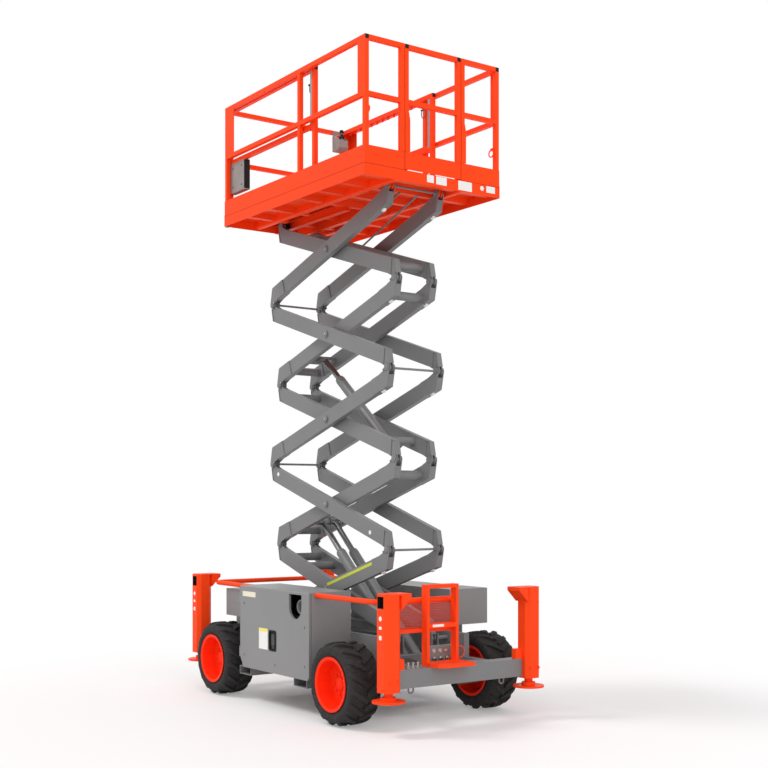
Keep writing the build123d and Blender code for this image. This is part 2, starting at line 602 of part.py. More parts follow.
# ---------------------------------------------------------------- ladder and guard tubes
LADDER_X = (-1545.0, -1475.0)
LADDER_Y = (11.0, 306.0)
with BuildPart() as ladder:
    for y in LADDER_Y:
        block(LADDER_X, (y - 14, y + 14), (BEAM_Z[1], 1158))
    block(LADDER_X, LADDER_Y, (1128, 1158))
    block(LADDER_X, LADDER_Y, (810, 845))
    # bar under the mesh, out to the left leg
    block((-1450, LADDER_X[1]), (LADDER_Y[0], 630), (775, 805))
    # step plate with cut corners
    with BuildSketch(Plane.XY.offset(BEAM_Z[1])) as step:
        with BuildLine():
            Polyline((LADDER_X[1], LADDER_Y[1] + 14), (-1590, LADDER_Y[1] + 14), (-1665, LADDER_Y[1] - 6),
                     (-1705, LADDER_Y[1] - 60), (-1705, LADDER_Y[0] - 57), (LADDER_X[1], LADDER_Y[0] - 57), close=True)
        make_face()
    extrude(step.sketch, amount=30, dir=(0, 0, 1))
save("ladder", ladder.part)

GUARD_R = 22.0
GUARD_Z = 1032.0


def guard_tube(points, bends):
    with BuildLine() as route:
        FilletPolyline(*points, radius=bends)
    start = route.wire() ^ 0
    with BuildSketch(Plane(origin=start.position, z_dir=route.wire() % 0)) as section:
        Circle(GUARD_R)
    sweep(section.sketch, path=route.wire())


with BuildPart() as guards:
    guard_tube([(CABINET_X[0], 745, GUARD_Z), (-1440, 745, GUARD_Z), (-1440, LADDER_Y[0], GUARD_Z),
                (LADDER_X[1], LADDER_Y[0], GUARD_Z)], [110, 32])
    guard_tube([(CABINET_X[1], 660, GUARD_Z), (1440, 660, GUARD_Z), (1440, -660, GUARD_Z), (CABINET_X[1], -660, GUARD_Z)],
               [110, 110])
save("guard_tubes", guards.part)

with BuildPart() as guard_mesh:
    block((-1443, -1437), (LADDER_Y[0] - 14, 620), (805, GUARD_Z - GUARD_R))
save("mesh_guard", guard_mesh.part)

with BuildPart() as beacon:
    with Locations((LEG_X, -640, LEG_TOP)):
        Cylinder(46, 22, align=(Align.CENTER, Align.CENTER, Align.MIN))
        Cylinder(38, 98, align=(Align.CENTER, Align.CENTER, Align.MIN))
        with Locations((0, 0, 98)):
            Cone(38, 20, 26, align=(Align.CENTER, Align.CENTER, Align.MIN))
save("beacon", beacon.part)

# ---------------------------------------------------------------- platform
SKIRT_T = 5.0
TOE_INSET = 3.0
DECK_UNDER = DECK_TOP - 8.0
with BuildPart() as platform:
    block(DECK_X, (-DECK_HALF, DECK_HALF), (DECK_UNDER, DECK_TOP))
    for side in (-1, 1):
        block(DECK_X, (side * (DECK_HALF - SKIRT_T), side * DECK_HALF), (SKIRT_BOTTOM, DECK_TOP + 12))
        toe = DECK_HALF - TOE_INSET
        block(DECK_X, (side * (toe - SKIRT_T), side * toe), (DECK_TOP, TOE_TOP))
    block((DECK_X[0], DECK_X[0] + SKIRT_T), (-DECK_HALF, DECK_HALF), (SKIRT_BOTTOM, DECK_TOP))
    block((DECK_X[1] - SKIRT_T, DECK_X[1]), (-DECK_HALF, DECK_HALF), (SKIRT_BOTTOM, DECK_UNDER))
save("platform_deck", platform.part)

# frame under the deck: two box beams and the two channels of the slide blocks along it, hat ribs across it
FRAME_X = (DECK_X[0] + SKIRT_T, DECK_X[1] - SKIRT_T)
FRAME_Y = DECK_HALF - SKIRT_T
BEAM_Y = (318.0, 372.0)
BEAM_DROP = 20.0           # the box beams reach this far below the pins
CHANNEL_Y = (100.0, 152.0)
CHANNEL_T = 6.0
CHANNEL_START = -100.0
SLIDE_HALF = (36.0, 29.0)  # half length and half height of a slide block
RIB_PROFILE = ((-40, 0), (-28, -52), (28, -52), (40, 0))
RIBS = [(-1090, False), (-760, False), (-420, False), (-80, False), (420, True), (800, True)]  # x, open for the arms' ends
RIB_GAP_Y = (101.0, 218.0)
with BuildPart() as frame:
    for side in (-1, 1):
        with BuildSketch(Plane(origin=(FRAME_X[0], 0, 0), x_dir=(0, 1, 0), z_dir=(1, 0, 0))) as section:
            low, high = TOP_PIN_Z - BEAM_DROP, DECK_UNDER
            with Locations((side * sum(BEAM_Y) / 2, (low + high) / 2)):
                Rectangle(BEAM_Y[1] - BEAM_Y[0], high - low)
            fillet(section.vertices().group_by(Axis.Y)[0], 16)
        extrude(section.sketch, amount=FRAME_X[1] - FRAME_X[0], dir=(1, 0, 0))
        # channel, open outward
        web = (side * CHANNEL_Y[0], side * (CHANNEL_Y[0] + CHANNEL_T))
        shelf = SLIDE_HALF[1] + 3
        block((CHANNEL_START, FRAME_X[1]), web, (TOP_PIN_Z - shelf - CHANNEL_T, DECK_UNDER))
        for low in (TOP_PIN_Z - shelf - CHANNEL_T, TOP_PIN_Z + shelf):
            block((CHANNEL_START, FRAME_X[1]), (side * CHANNEL_Y[0], side * CHANNEL_Y[1]), (low, low + CHANNEL_T))
        # rear pivot lugs with round ends, under a pad that reaches the box beam
        block((BASE_PIN[0] - 60, BASE_PIN[0] + 60), (side * 232, side * (BEAM_Y[0] + 1)), (DECK_UNDER - 8, DECK_UNDER))
        for low in (OUTER_Y - 19, OUTER_Y + 7):
            ears = (side * low, side * (low + 12))
            block((BASE_PIN[0] - 36, BASE_PIN[0] + 36), ears, (TOP_PIN_Z, DECK_UNDER))
            rod_y(BASE_PIN[0], TOP_PIN_Z, 36, ears)
        rod_y(BASE_PIN[0], TOP_PIN_Z, PIN_R + FIT, (side * 200, side * 320), Mode.SUBTRACT)
    for x, split_rib in RIBS:
        spans = [(-FRAME_Y, FRAME_Y)]
        if split_rib:
            spans = [(-FRAME_Y, -RIB_GAP_Y[1]), (-RIB_GAP_Y[0], RIB_GAP_Y[0]), (RIB_GAP_Y[1], FRAME_Y)]
        for low, high in spans:
            with BuildSketch(Plane(origin=(0, low, 0), x_dir=(1, 0, 0), z_dir=(0, -1, 0))) as rib:
                with BuildLine():
                    Polyline(*[(x + a, DECK_UNDER + b) for a, b in RIB_PROFILE], close=True)
                make_face()
            extrude(rib.sketch, amount=high - low, dir=(0, 1, 0))
save("deck_frame", frame.part)


def post(x, y, top, low=DECK_TOP):
    block((x - TUBE / 2, x + TUBE / 2), (y - TUBE / 2, y + TUBE / 2), (low, top))


RAIL_Y_C = DECK_HALF - SKIRT_T - TOE_INSET - TUBE / 2
POSTS_X = (DECK_X[0] + TUBE / 2, -204.0, DECK_X[1] - TUBE / 2)
CORNER_PLATES = ((DECK_X[0], DECK_X[0] + 108), (DECK_X[1] - 170, DECK_X[1]))
PLATE_T = 5.0
for where, side in (("left", 1), ("right", -1)):
    with BuildPart() as rails:
        y = side * RAIL_Y_C
        outer = side * (RAIL_Y_C + TUBE / 2)
        for top in (RAIL_TOP, MID_RAIL):
            block(DECK_X, (y - TUBE / 2, y + TUBE / 2), (top - TUBE, top))
        for x in POSTS_X:
            post(x, y, RAIL_TOP)
        for plate in CORNER_PLATES:
            block(plate, (outer - side * PLATE_T, outer), (MID_RAIL, RAIL_TOP - TUBE))
    save(f"rails_{where}", rails.part)

GATE_Y = (-285.0, 310.0)
REAR_X = POSTS_X[0]
GATE_HINGE = (REAR_X + TUBE / 2 + 10, GATE_Y[1] - 3)   # x and y of the hinge line, inside the posts
GATE_HINGE_HEIGHTS = (DECK_TOP + 260, DECK_TOP + 840)
GATE_HINGE_R = 9.0
GATE_PIN_R = 5.0
HANDLE_R = 9.0
with BuildPart() as rear_rails:
    for low, high in ((GATE_Y[1], RAIL_Y_C - TUBE / 2), (-RAIL_Y_C + TUBE / 2, GATE_Y[0])):
        for top in (RAIL_TOP, MID_RAIL):
            block((REAR_X - TUBE / 2, REAR_X + TUBE / 2), (low, high), (top - TUBE, top))
        block((REAR_X - TUBE / 2, REAR_X - TUBE / 2 + 5), (low, high), (DECK_TOP, TOE_TOP))
    post(REAR_X, GATE_Y[1] + TUBE / 2, RAIL_TOP)
    post(REAR_X, GATE_Y[0] - TUBE / 2, RAIL_TOP)
    # hinge lugs and pins of the gate
    for z in GATE_HINGE_HEIGHTS:
        for low in (z - 38, z + 26):
            block((REAR_X + TUBE / 2 - 1, GATE_HINGE[0]), (GATE_HINGE[1], GATE_Y[1] + 16), (low, low + 12))
            upright(*GATE_HINGE, GATE_HINGE_R, (low, low + 12))
        upright(*GATE_HINGE, GATE_PIN_R, (z - 38, z + 38))
    # grab handle beside the way in
    foot, grip = (REAR_X + 14, GATE_Y[0] - 19), (REAR_X + 60, GATE_Y[0] - 88)
    with BuildLine() as handle:
        FilletPolyline((*foot, 4940), (*grip, 4940), (*grip, 5465), (*foot, 5465), radius=34)
    with BuildSketch(Plane(origin=handle.wire() @ 0, z_dir=handle.wire() % 0)) as section:
        Circle(HANDLE_R)
    sweep(section.sketch, path=handle.wire())
save("rails_rear", rear_rails.part)

with BuildPart() as gate:
    low, high = GATE_Y[0] + 6, GATE_Y[1] - 6
    for y in (low + TUBE / 2, high - TUBE / 2):
        post(REAR_X, y, RAIL_TOP, DECK_TOP + 8)
    for top in (RAIL_TOP, MID_RAIL):
        block((REAR_X - TUBE / 2, REAR_X + TUBE / 2), (low, high), (top - TUBE, top))
    block((REAR_X - TUBE / 2, REAR_X - TUBE / 2 + 5), (low, high), (DECK_TOP + 8, TOE_TOP))
    for z in GATE_HINGE_HEIGHTS:
        block((REAR_X + TUBE / 2 - 1, GATE_HINGE[0]), (high - 16, GATE_HINGE[1]), (z - 24, z + 24))
        upright(*GATE_HINGE, GATE_HINGE_R, (z - 24, z + 24))
        upright(*GATE_HINGE, GATE_PIN_R + FIT, (z - 25, z + 25), Mode.SUBTRACT)
save("gate", gate.part)

# roll-out deck, lying on the main deck, with its own rails inside the side rails
EXT_X = (-390.0, DECK_X[1] + 30)
EXT_Y = RAIL_Y_C - TUBE / 2 - 8
EXT_FRONT = EXT_X[1] - 5
EXT_DROP = 45.0           # middle rail below the main one
EXT_TOP = RAIL_TOP - 6
COMB_X = (-320.0, 1090.0)  # notched latch rail under the right top rail
COMB_PITCH = 94.0
TOOTH = (22.0, 27.0)       # width and height
COMB_STRIP = 5.0
with BuildPart() as extension:
    block(EXT_X, (-EXT_Y, EXT_Y), (DECK_TOP + 5, DECK_TOP + 25))
    block((EXT_X[1] - 5, EXT_X[1]), (-EXT_Y, EXT_Y), (DECK_TOP + 5, TOE_TOP))
save("extension_deck", extension.part)
with BuildPart() as ext_rails:
    for side in (-1, 1):
        y = side * (EXT_Y - TUBE / 2)
        for top in (EXT_TOP, MID_RAIL - EXT_DROP):
            block((EXT_X[0], EXT_FRONT), (y - TUBE / 2, y + TUBE / 2), (top - TUBE, top))
        for px in (EXT_FRONT - TUBE / 2, EXT_X[0] + TUBE / 2):
            post(px, y, EXT_TOP, DECK_TOP + 25)
    for top in (EXT_TOP, MID_RAIL - EXT_DROP):
        block((EXT_FRONT - TUBE, EXT_FRONT), (-EXT_Y, EXT_Y), (top - TUBE, top))
save("extension_rails", ext_rails.part)

# one strip cut to teeth, under the right top rail
with BuildPart() as comb:
    under = EXT_TOP - TUBE
    outline = [(COMB_X[1] + TOOTH[0], under), (COMB_X[0] - TOOTH[0], under)]
    for i in range(int((COMB_X[1] - COMB_X[0]) / COMB_PITCH) + 1):
        x = COMB_X[0] + i * COMB_PITCH
        outline += [(x - TOOTH[0] * 0.7, under - COMB_STRIP), (x - TOOTH[0] / 2, under - TOOTH[1]),
                    (x + TOOTH[0] / 2, under - TOOTH[1]), (x + TOOTH[0] * 0.7, under - COMB_STRIP)]
    with BuildSketch(Plane(origin=(0, -(EXT_Y - 16), 0), x_dir=(1, 0, 0), z_dir=(0, -1, 0))) as teeth:
        with BuildLine():
            Polyline(*outline, close=True)
        make_face()
    extrude(teeth.sketch, amount=6, dir=(0, -1, 0))
save("extension_comb", comb.part)

CONSOLE_Y = (-612.0, -505.0)
CONSOLE_Z = (RAIL_TOP - 225, RAIL_TOP - 70)
with BuildPart() as console:
    back = EXT_FRONT - TUBE
    with BuildSketch(Plane(origin=(0, CONSOLE_Y[0], 0), x_dir=(1, 0, 0), z_dir=(0, -1, 0))) as side_view:
        with BuildLine():
            Polyline((back, CONSOLE_Z[0]), (back, CONSOLE_Z[1]), (back - 50, CONSOLE_Z[1]),
                     (back - 135, CONSOLE_Z[1] - 62), (back - 135, CONSOLE_Z[0] + 25), (back - 110, CONSOLE_Z[0]), close=True)
        make_face()
    extrude(side_view.sketch, amount=CONSOLE_Y[1] - CONSOLE_Y[0], dir=(0, 1, 0))
    fillet(console.edges().filter_by(Axis.Z), 8)
    # hanger plate on the front rail
    block((back - 6, back), (CONSOLE_Y[0] + 12, CONSOLE_Y[1] - 12), (CONSOLE_Z[1] - 20, EXT_TOP - 8))
    # joystick
    upright(back - 82, CONSOLE_Y[0] + 45, 9, (CONSOLE_Z[1] - 60, CONSOLE_Z[1] + 20))
    with Locations((back - 82, CONSOLE_Y[0] + 45, CONSOLE_Z[1] + 28)):
        Sphere(19)
save("console", console.part)
with BuildPart() as docs:
    hang = MID_RAIL - EXT_DROP - TUBE
    block((EXT_FRONT - 325, EXT_FRONT - TUBE), (EXT_Y - 57, EXT_Y), (hang - 283, hang))
    fillet(docs.edges().filter_by(Axis.Z), 8)
save("document_box", docs.part)

with BuildPart() as base_rollers:
    for side in (-1, 1):
        rod_y(FRONT_X, BASE_PIN[1], 38, (side * 304, side * 330))
        rod_y(FRONT_X, BASE_PIN[1], PIN_R, (side * 300, side * 331), Mode.SUBTRACT)
save("base_rollers", base_rollers.part)
with BuildPart() as slide_blocks:
    for side in (-1, 1):
        block((FRONT_X - SLIDE_HALF[0], FRONT_X + SLIDE_HALF[0]), (side * SLIDE_Y[0], side * SLIDE_Y[1]),
              (TOP_PIN_Z - SLIDE_HALF[1], TOP_PIN_Z + SLIDE_HALF[1]))
        rod_y(FRONT_X, TOP_PIN_Z, CENTRE_PIN_R + FIT, (side * 100, side * 160), Mode.SUBTRACT)
save("slide_blocks", slide_blocks.part)
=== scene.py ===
"""Looks of the rough-terrain scissor lift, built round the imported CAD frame."""
import json
import math

import bpy
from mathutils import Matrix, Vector


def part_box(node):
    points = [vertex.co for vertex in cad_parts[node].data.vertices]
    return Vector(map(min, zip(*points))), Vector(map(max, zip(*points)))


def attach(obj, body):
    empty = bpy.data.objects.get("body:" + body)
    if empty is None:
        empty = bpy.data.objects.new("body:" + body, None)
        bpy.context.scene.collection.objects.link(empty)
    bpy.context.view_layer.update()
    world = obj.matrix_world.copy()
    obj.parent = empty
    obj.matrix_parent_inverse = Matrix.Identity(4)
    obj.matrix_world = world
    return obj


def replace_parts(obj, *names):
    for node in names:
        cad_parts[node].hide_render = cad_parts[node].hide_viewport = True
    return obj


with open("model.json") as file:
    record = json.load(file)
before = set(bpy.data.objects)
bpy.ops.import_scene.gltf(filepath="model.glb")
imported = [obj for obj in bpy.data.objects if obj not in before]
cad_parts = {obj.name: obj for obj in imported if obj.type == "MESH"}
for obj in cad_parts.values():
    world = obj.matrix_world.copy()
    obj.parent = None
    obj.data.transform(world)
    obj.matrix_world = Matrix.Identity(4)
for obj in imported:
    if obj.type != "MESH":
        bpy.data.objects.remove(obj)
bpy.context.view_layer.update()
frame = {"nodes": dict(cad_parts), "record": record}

scene = bpy.context.scene
scene.view_settings.view_transform = "Standard"

SIDES = (("left", 1), ("right", -1))
ENDS = (("rear", -1), ("front", 1))

# ------------------------------------------------------------------ camera
CAMERA_AT = (-9.4564, 6.3337, 1.8478)
VIEW_YAW = -35.2603
LENS = 58.366
SENSOR = 36.0
VIEW_RISE = 0.1492
camera_data = bpy.data.cameras.new("camera")
camera_data.sensor_width = SENSOR
camera_data.lens = LENS
camera_data.shift_y = VIEW_RISE
camera_data.clip_end = 200.0
camera = bpy.data.objects.new("camera", camera_data)
camera.location = CAMERA_AT
camera.rotation_euler = (math.radians(90), 0, math.radians(VIEW_YAW - 90))
scene.collection.objects.link(camera)
scene.camera = camera


# ------------------------------------------------------------------ materials
DUST = (0.34, 0.31, 0.27, 1)


def new_material(name):
    material = bpy.data.materials.new(name)
    material.use_nodes = True
    nodes = material.node_tree.nodes
    shader = nodes["Principled BSDF"]
    return material, nodes, material.node_tree.links, shader


def noise(nodes, links, vector, scale, detail, rough=0.5):
    texture = nodes.new("ShaderNodeTexNoise")
    texture.inputs["Scale"].default_value = scale
    texture.inputs["Detail"].default_value = detail
    texture.inputs["Roughness"].default_value = rough
    links.new(vector, texture.inputs["Vector"])
    return texture.outputs["Fac"]


def map_range(nodes, links, value, source=(0.0, 1.0), target=(0.0, 1.0), smooth=False):
    spread = nodes.new("ShaderNodeMapRange")
    if smooth:
        spread.interpolation_type = "SMOOTHSTEP"
    spread.inputs["From Min"].default_value, spread.inputs["From Max"].default_value = source
    spread.inputs["To Min"].default_value, spread.inputs["To Max"].default_value = target
    links.new(value, spread.inputs["Value"])
    return spread.outputs["Result"]


def calculate(nodes, links, operation, first, second):
    step = nodes.new("ShaderNodeMath")
    step.operation = operation
    links.new(first, step.inputs[0])
    links.new(second, step.inputs[1])
    return step.outputs[0]


def coat(name, colour, rough=0.42, metal=0.0, variation=0.06, scale=2.5, grain=260.0, bump=0.02, spec=0.5, dust=0.0):
    """A painted or moulded surface: broad colour drift, fine orange peel and uneven gloss."""
    material, nodes, links, shader = new_material(name)
    place = nodes.new("ShaderNodeTexCoord").outputs["Object"]
    broad = noise(nodes, links, place, scale, 5.0, 0.6)
    ramp = nodes.new("ShaderNodeValToRGB")
    low = [max(0.0, c * (1 - variation)) for c in colour]
    high = [min(1.0, c * (1 + variation)) for c in colour]
    ramp.color_ramp.elements[0].position = 0.32
    ramp.color_ramp.elements[1].position = 0.68
    ramp.color_ramp.elements[0].color = (*low, 1)
    ramp.color_ramp.elements[1].color = (*high, 1)
    links.new(broad, ramp.inputs["Fac"])
    colour_out = ramp.outputs["Color"]
    if dust:
        specks = noise(nodes, links, place, 38.0, 8.0)
        mask = map_range(nodes, links, specks, (0.55, 0.80), (0.0, dust))
        mix = nodes.new("ShaderNodeMix")
        mix.data_type = "RGBA"
        mix.inputs["B"].default_value = DUST
        links.new(mask, mix.inputs["Factor"])
        links.new(colour_out, mix.inputs["A"])
        colour_out = mix.outputs["Result"]
    links.new(colour_out, shader.inputs["Base Color"])
    gloss = map_range(nodes, links, broad, target=(max(0.05, rough - 0.07), min(1.0, rough + 0.07)))
    links.new(gloss, shader.inputs["Roughness"])
    shader.inputs["Metallic"].default_value = metal
    shader.inputs["Specular IOR Level"].default_value = spec
    relief = nodes.new("ShaderNodeBump")
    relief.inputs["Strength"].default_value = bump * 4
    relief.inputs["Distance"].default_value = 0.001
    links.new(noise(nodes, links, place, grain, 2.0), relief.inputs["Height"])
    links.new(relief.outputs["Normal"], shader.inputs["Normal"])
    return material


ORANGE = coat("orange_paint", (0.95, 0.061, 0.008), variation=0.04, scale=1.6, spec=0.10)
RIM_ORANGE = coat("rim_paint", (0.95, 0.030, 0.005), variation=0.04, scale=3.0, spec=0.10)
GREY = coat("grey_paint", (0.178, 0.181, 0.184), rough=0.45, scale=1.8)
CABINET = coat("cabinet_grey", (0.216, 0.216, 0.218), variation=0.05, scale=1.2)
RUBBER = coat("tyre_rubber", (0.018, 0.017, 0.017), rough=0.78, variation=0.25, scale=7.0, bump=0.09, spec=0.35,
              dust=0.10)
STEEL = coat("dark_steel", (0.07, 0.07, 0.073), rough=0.5, metal=0.6, variation=0.15, scale=8.0)
CHROME = coat("chrome_rod", (0.24, 0.24, 0.245), rough=0.34, metal=1.0, variation=0.02, scale=30.0)
AMBER = coat("amber_lens", (1.0, 0.33, 0.01), rough=0.22, variation=0.08, scale=20.0, bump=0.0)
BLACK = coat("black_plastic", (0.012, 0.012, 0.013), rough=0.6, variation=0.15, scale=14.0, bump=0.05, spec=0.18)
CONSOLE = coat("console_grey", (0.27, 0.25, 0.24), rough=0.6, variation=0.08, scale=9.0, bump=0.05)
MESH_RED = coat("mesh_red", (0.62, 0.06, 0.03), rough=0.5, variation=0.05)
WHITE = coat("blank_plate", (0.80, 0.80, 0.78), rough=0.45, variation=0.03, scale=9.0, bump=0.01)
CREAM = coat("cream_plate", (0.78, 0.72, 0.55), rough=0.5, variation=0.04, scale=9.0, bump=0.01)
YELLOW = coat("yellow_strip", (0.85, 0.72, 0.12), rough=0.5, variation=0.04, scale=9.0, bump=0.01)
HI_VIS = coat("reflective_stripe", (0.56, 0.62, 0.03), rough=0.3, scale=40.0, grain=900.0, bump=0.05)
SLIDER = coat("pale_nylon", (0.30, 0.305, 0.30), rough=0.5, variation=0.05, scale=12.0)
SEAM = coat("seam_shade", (0.42, 0.018, 0.004), rough=0.6, variation=0.05, spec=0.1)
ZINC = coat("zinc_bolt", (0.46, 0.45, 0.42), rough=0.35, metal=0.9, variation=0.12, scale=60.0)
HOSE = coat("hose_rubber", (0.03, 0.03, 0.03), rough=0.6, variation=0.2, scale=30.0, bump=0.08)

SLOT_MATERIAL = {
    "orange_paint": ORANGE, "grey_paint": GREY, "cabinet_grey": CABINET, "tyre": RUBBER, "dark_steel": STEEL,
    "chrome_rod": CHROME, "amber_lens": AMBER, "black_plastic": BLACK, "red_mesh": MESH_RED, "console_grey": CONSOLE,
}
node_slot = {part["node"]: part["material_slot"] for part in frame["record"]["subparts"]}
for name, obj in frame["nodes"].items():
    material = RIM_ORANGE if name.startswith("rim_") else SLOT_MATERIAL[node_slot[name]]
    for slot in obj.material_slots:
        slot.material = material


# ------------------------------------------------------------------ mesh building
class Form:
    """Points and faces of one piece, gathered from profiles, turned forms and bent bars."""

    def __init__(self):
        self.points, self.faces, self.slots = [], [], []
        self.material = 0

    def add(self, points, faces):
        first = len(self.points)
        self.points += [Vector(p) for p in points]
        self.faces += [tuple(first + i for i in face) for face in faces]
        self.slots += [self.material] * len(faces)

    def prism(self, outline, origin, across, up, depth):
        """An outline in the plane of two unit vectors, pushed along their cross product by depth."""
        origin, across, up = Vector(origin), Vector(across), Vector(up)
        push = across.cross(up) * depth
        flat = [origin + across * a + up * b for a, b in outline]
        count = len(flat)
        faces = [tuple(reversed(range(count))), tuple(range(count, 2 * count))]
        faces += [(i, (i + 1) % count, count + (i + 1) % count, count + i) for i in range(count)]
        if depth < 0:
            faces = [tuple(reversed(face)) for face in faces]
        self.add(flat + [p + push for p in flat], faces)

    def side_panel(self, outline, at, side, thickness):
        """An outline in X and Z on a face turned to +Y or -Y by side, proud of it by thickness."""
        self.prism(outline, at, (1, 0, 0), (0, 0, 1), -thickness * side)

    def rear_panel(self, outline, at, thickness):
        """An outline in Y and Z on a face turned to the rear, proud of it by thickness."""
        self.prism(outline, at, (0, 1, 0), (0, 0, 1), -thickness)

    def box(self, one, other):
        """A box between two opposite corners."""
        (x0, x1), (y0, y1), (z0, z1) = [sorted(pair) for pair in zip(one, other)]
        self.prism([(x0, y0), (x1, y0), (x1, y1), (x0, y1)], (0, 0, z0), (1, 0, 0), (0, 1, 0), z1 - z0)

    def turned(self, profile, origin, axis, steps=40):
        """(radius, height) pairs turned about an axis; a radius of 0 closes the form."""
        origin, axis = Vector(origin), Vector(axis).normalized()
        side = axis.orthogonal().normalized()
        other = axis.cross(side)
        points, rings = [], []
        for radius, height in profile:
            if radius == 0:
                rings.append([len(points)])
                points.append(origin + axis * height)
                continue
            rings.append(list(range(len(points), len(points) + steps)))
            for i in range(steps):
                turn = 2 * math.pi * i / steps
                points.append(origin + axis * height + (side * math.cos(turn) + other * math.sin(turn)) * radius)
        faces = []
        for low, high in zip(rings, rings[1:]):
            for i in range(steps):
                j = (i + 1) % steps
                if len(low) == 1 and len(high) > 1:
                    faces.append((low[0], high[i], high[j])[::-1])
                elif len(high) == 1 and len(low) > 1:
                    faces.append((low[i], low[j], high[0]))
                elif len(low) > 1:
                    faces.append((low[i], low[j], high[j], high[i]))
        self.add(points, faces)

    def bar(self, route, radius, steps=12, closed=False):
        """A round bar along a list of points."""
        route = [Vector(p) for p in route]
        count = len(route)
        points = []
        side = None
        for i, point in enumerate(route):
            ahead = route[(i + 1) % count] if closed or i < count - 1 else point
            behind = route[i - 1] if closed or i else point
            along = (ahead - behind).normalized()
            if side is None:
                side = along.orthogonal().normalized()
            side = (side - along * side.dot(along)).normalized()
            other = along.cross(side)
            points += [point + (side * math.cos(2 * math.pi * k / steps)
                                + other * math.sin(2 * math.pi * k / steps)) * radius for k in range(steps)]
        faces = []
        for i in range(count if closed else count - 1):
            for k in range(steps):
                a, b = i * steps, (i + 1) % count * steps
                faces.append((a + k, a + (k + 1) % steps, b + (k + 1) % steps, b + k))
        if not closed:
            faces += [tuple(reversed(range(steps))), tuple(range((count - 1) * steps, count * steps))]
        self.add(points, faces)

    def bolt(self, at, axis, size):
        """Hexagon head with a crowned top on a washer; size is the width across the corners."""
        self.turned([(size * 0.68, 0), (size * 0.68, size * 0.10), (0, size * 0.10)], at, axis, 20)
        base = Vector(at) + Vector(axis).normalized() * size * 0.10
        head = [(size / 2, 0), (size / 2, size * 0.30), (size * 0.40, size * 0.38), (0, size * 0.38)]
        self.turned(head, base, axis, 6)

    def piece(self, name, body, materials, bevel=0.0, smooth=38.0):
        """The finished mesh, riding on a body; smooth is the angle below which edges stay soft."""
        mesh = bpy.data.meshes.new(name)
        mesh.from_pydata([tuple(p) for p in self.points], [], self.faces)
        for material in materials if isinstance(materials, list) else [materials]:
            mesh.materials.append(material)
        mesh.polygons.foreach_set("material_index", self.slots)
        mesh.polygons.foreach_set("use_smooth", [True] * len(self.faces))
        mesh.set_sharp_from_angle(angle=math.radians(smooth))
        obj = bpy.data.objects.new(name, mesh)
        scene.collection.objects.link(obj)
        if bevel:
            edge = obj.modifiers.new("bevel", "BEVEL")
            edge.width = bevel
            edge.segments = 2
            edge.limit_method = "ANGLE"
            edge.angle_limit = math.radians(40)
            edge.harden_normals = False
        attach(obj, body)
        return obj


def arc(centre, radius, start, end, steps, u=(1, 0, 0), v=(0, 0, 1)):
    """Points on a circle about centre, from one angle in degrees to another."""
    centre, u, v = Vector(centre), Vector(u), Vector(v)
    turns = [math.radians(start + (end - start) * i / steps) for i in range(steps + 1)]
    return [centre + u * radius * math.cos(t) + v * radius * math.sin(t) for t in turns]


def rounded(width, height, radius, steps=5):
    """Outline of a rectangle with round corners about its middle."""
    outline = []
    for cx, cy, start in ((1, 1, 0), (-1, 1, 90), (-1, -1, 180), (1, -1, 270)):
        for i in range(steps + 1):
            t = math.radians(start + 90 * i / steps)
            outline.append((cx * (width / 2 - radius) + radius * math.cos(t),
                            cy * (height / 2 - radius) + radius * math.sin(t)))
    return outline


# ------------------------------------------------------------------ the scissor pack's places
SPAN, OFFSET, REST = 2.046, 0.084, math.radians(22)  # pin to pin, pin off the tube's middle line, stored angle
HALF = math.sqrt((SPAN / 2) ** 2 - OFFSET ** 2)
SLOPE = REST - math.atan2(OFFSET, HALF)
REAR_X, BASE_Z = -0.946, 0.647
STEP_X, STEP_Z = SPAN * math.cos(REST), SPAN * math.sin(REST)
DECK = BASE_Z + 5 * STEP_Z + 0.061
RAIL_TOP = DECK + 1.036
INNER, OUTER = 0.185, 0.260
TUBE_HALF_DEPTH, TUBE_HALF_WIDTH = 0.068, 0.025
FORK_FACE = 0.033  # outer face of a fork cheek, from the arm's middle


def arm_axes(kind, stage):
    """Middle of an arm, its directions along the tube and across it upward, and the sense of their cross product."""
    forward = 1 if kind == "b" else -1
    centre = Vector((REAR_X + STEP_X / 2, 0, BASE_Z + (stage - 0.5) * STEP_Z))
    along = Vector((forward * math.cos(SLOPE), 0, math.sin(SLOPE)))
    over = Vector((-forward * math.sin(SLOPE), 0, math.cos(SLOPE)))
    return centre, along, over, -forward


ARM_PLANE = {("a", 1): OUTER, ("b", 1): INNER, ("a", 2): INNER, ("b", 2): OUTER, ("a", 3): OUTER, ("b", 3): INNER,
             ("a", 4): INNER, ("b", 4): OUTER, ("a", 5): OUTER, ("b", 5): INNER}
PIN_HEAD = [(0.027, 0), (0.027, 0.004), (0.023, 0.006), (0, 0.006)]
KEEPER = rounded(0.058, 0.017, 0.006, 3)
CENTRE_HEAD = [(0.030, -0.003), (0.030, 0.004), (0.026, 0.007), (0, 0.007)]
CENTRE_HEAD_Y = 0.291
STOP_ARMS = (("a", 1), ("a", 3), ("a", 4), ("a", 5))
STOP_OUTLINE = [(-0.022, 0.001), (-0.016, -0.017), (0.016, -0.017), (0.022, 0.001)]
STOP_WIDTH = 0.028

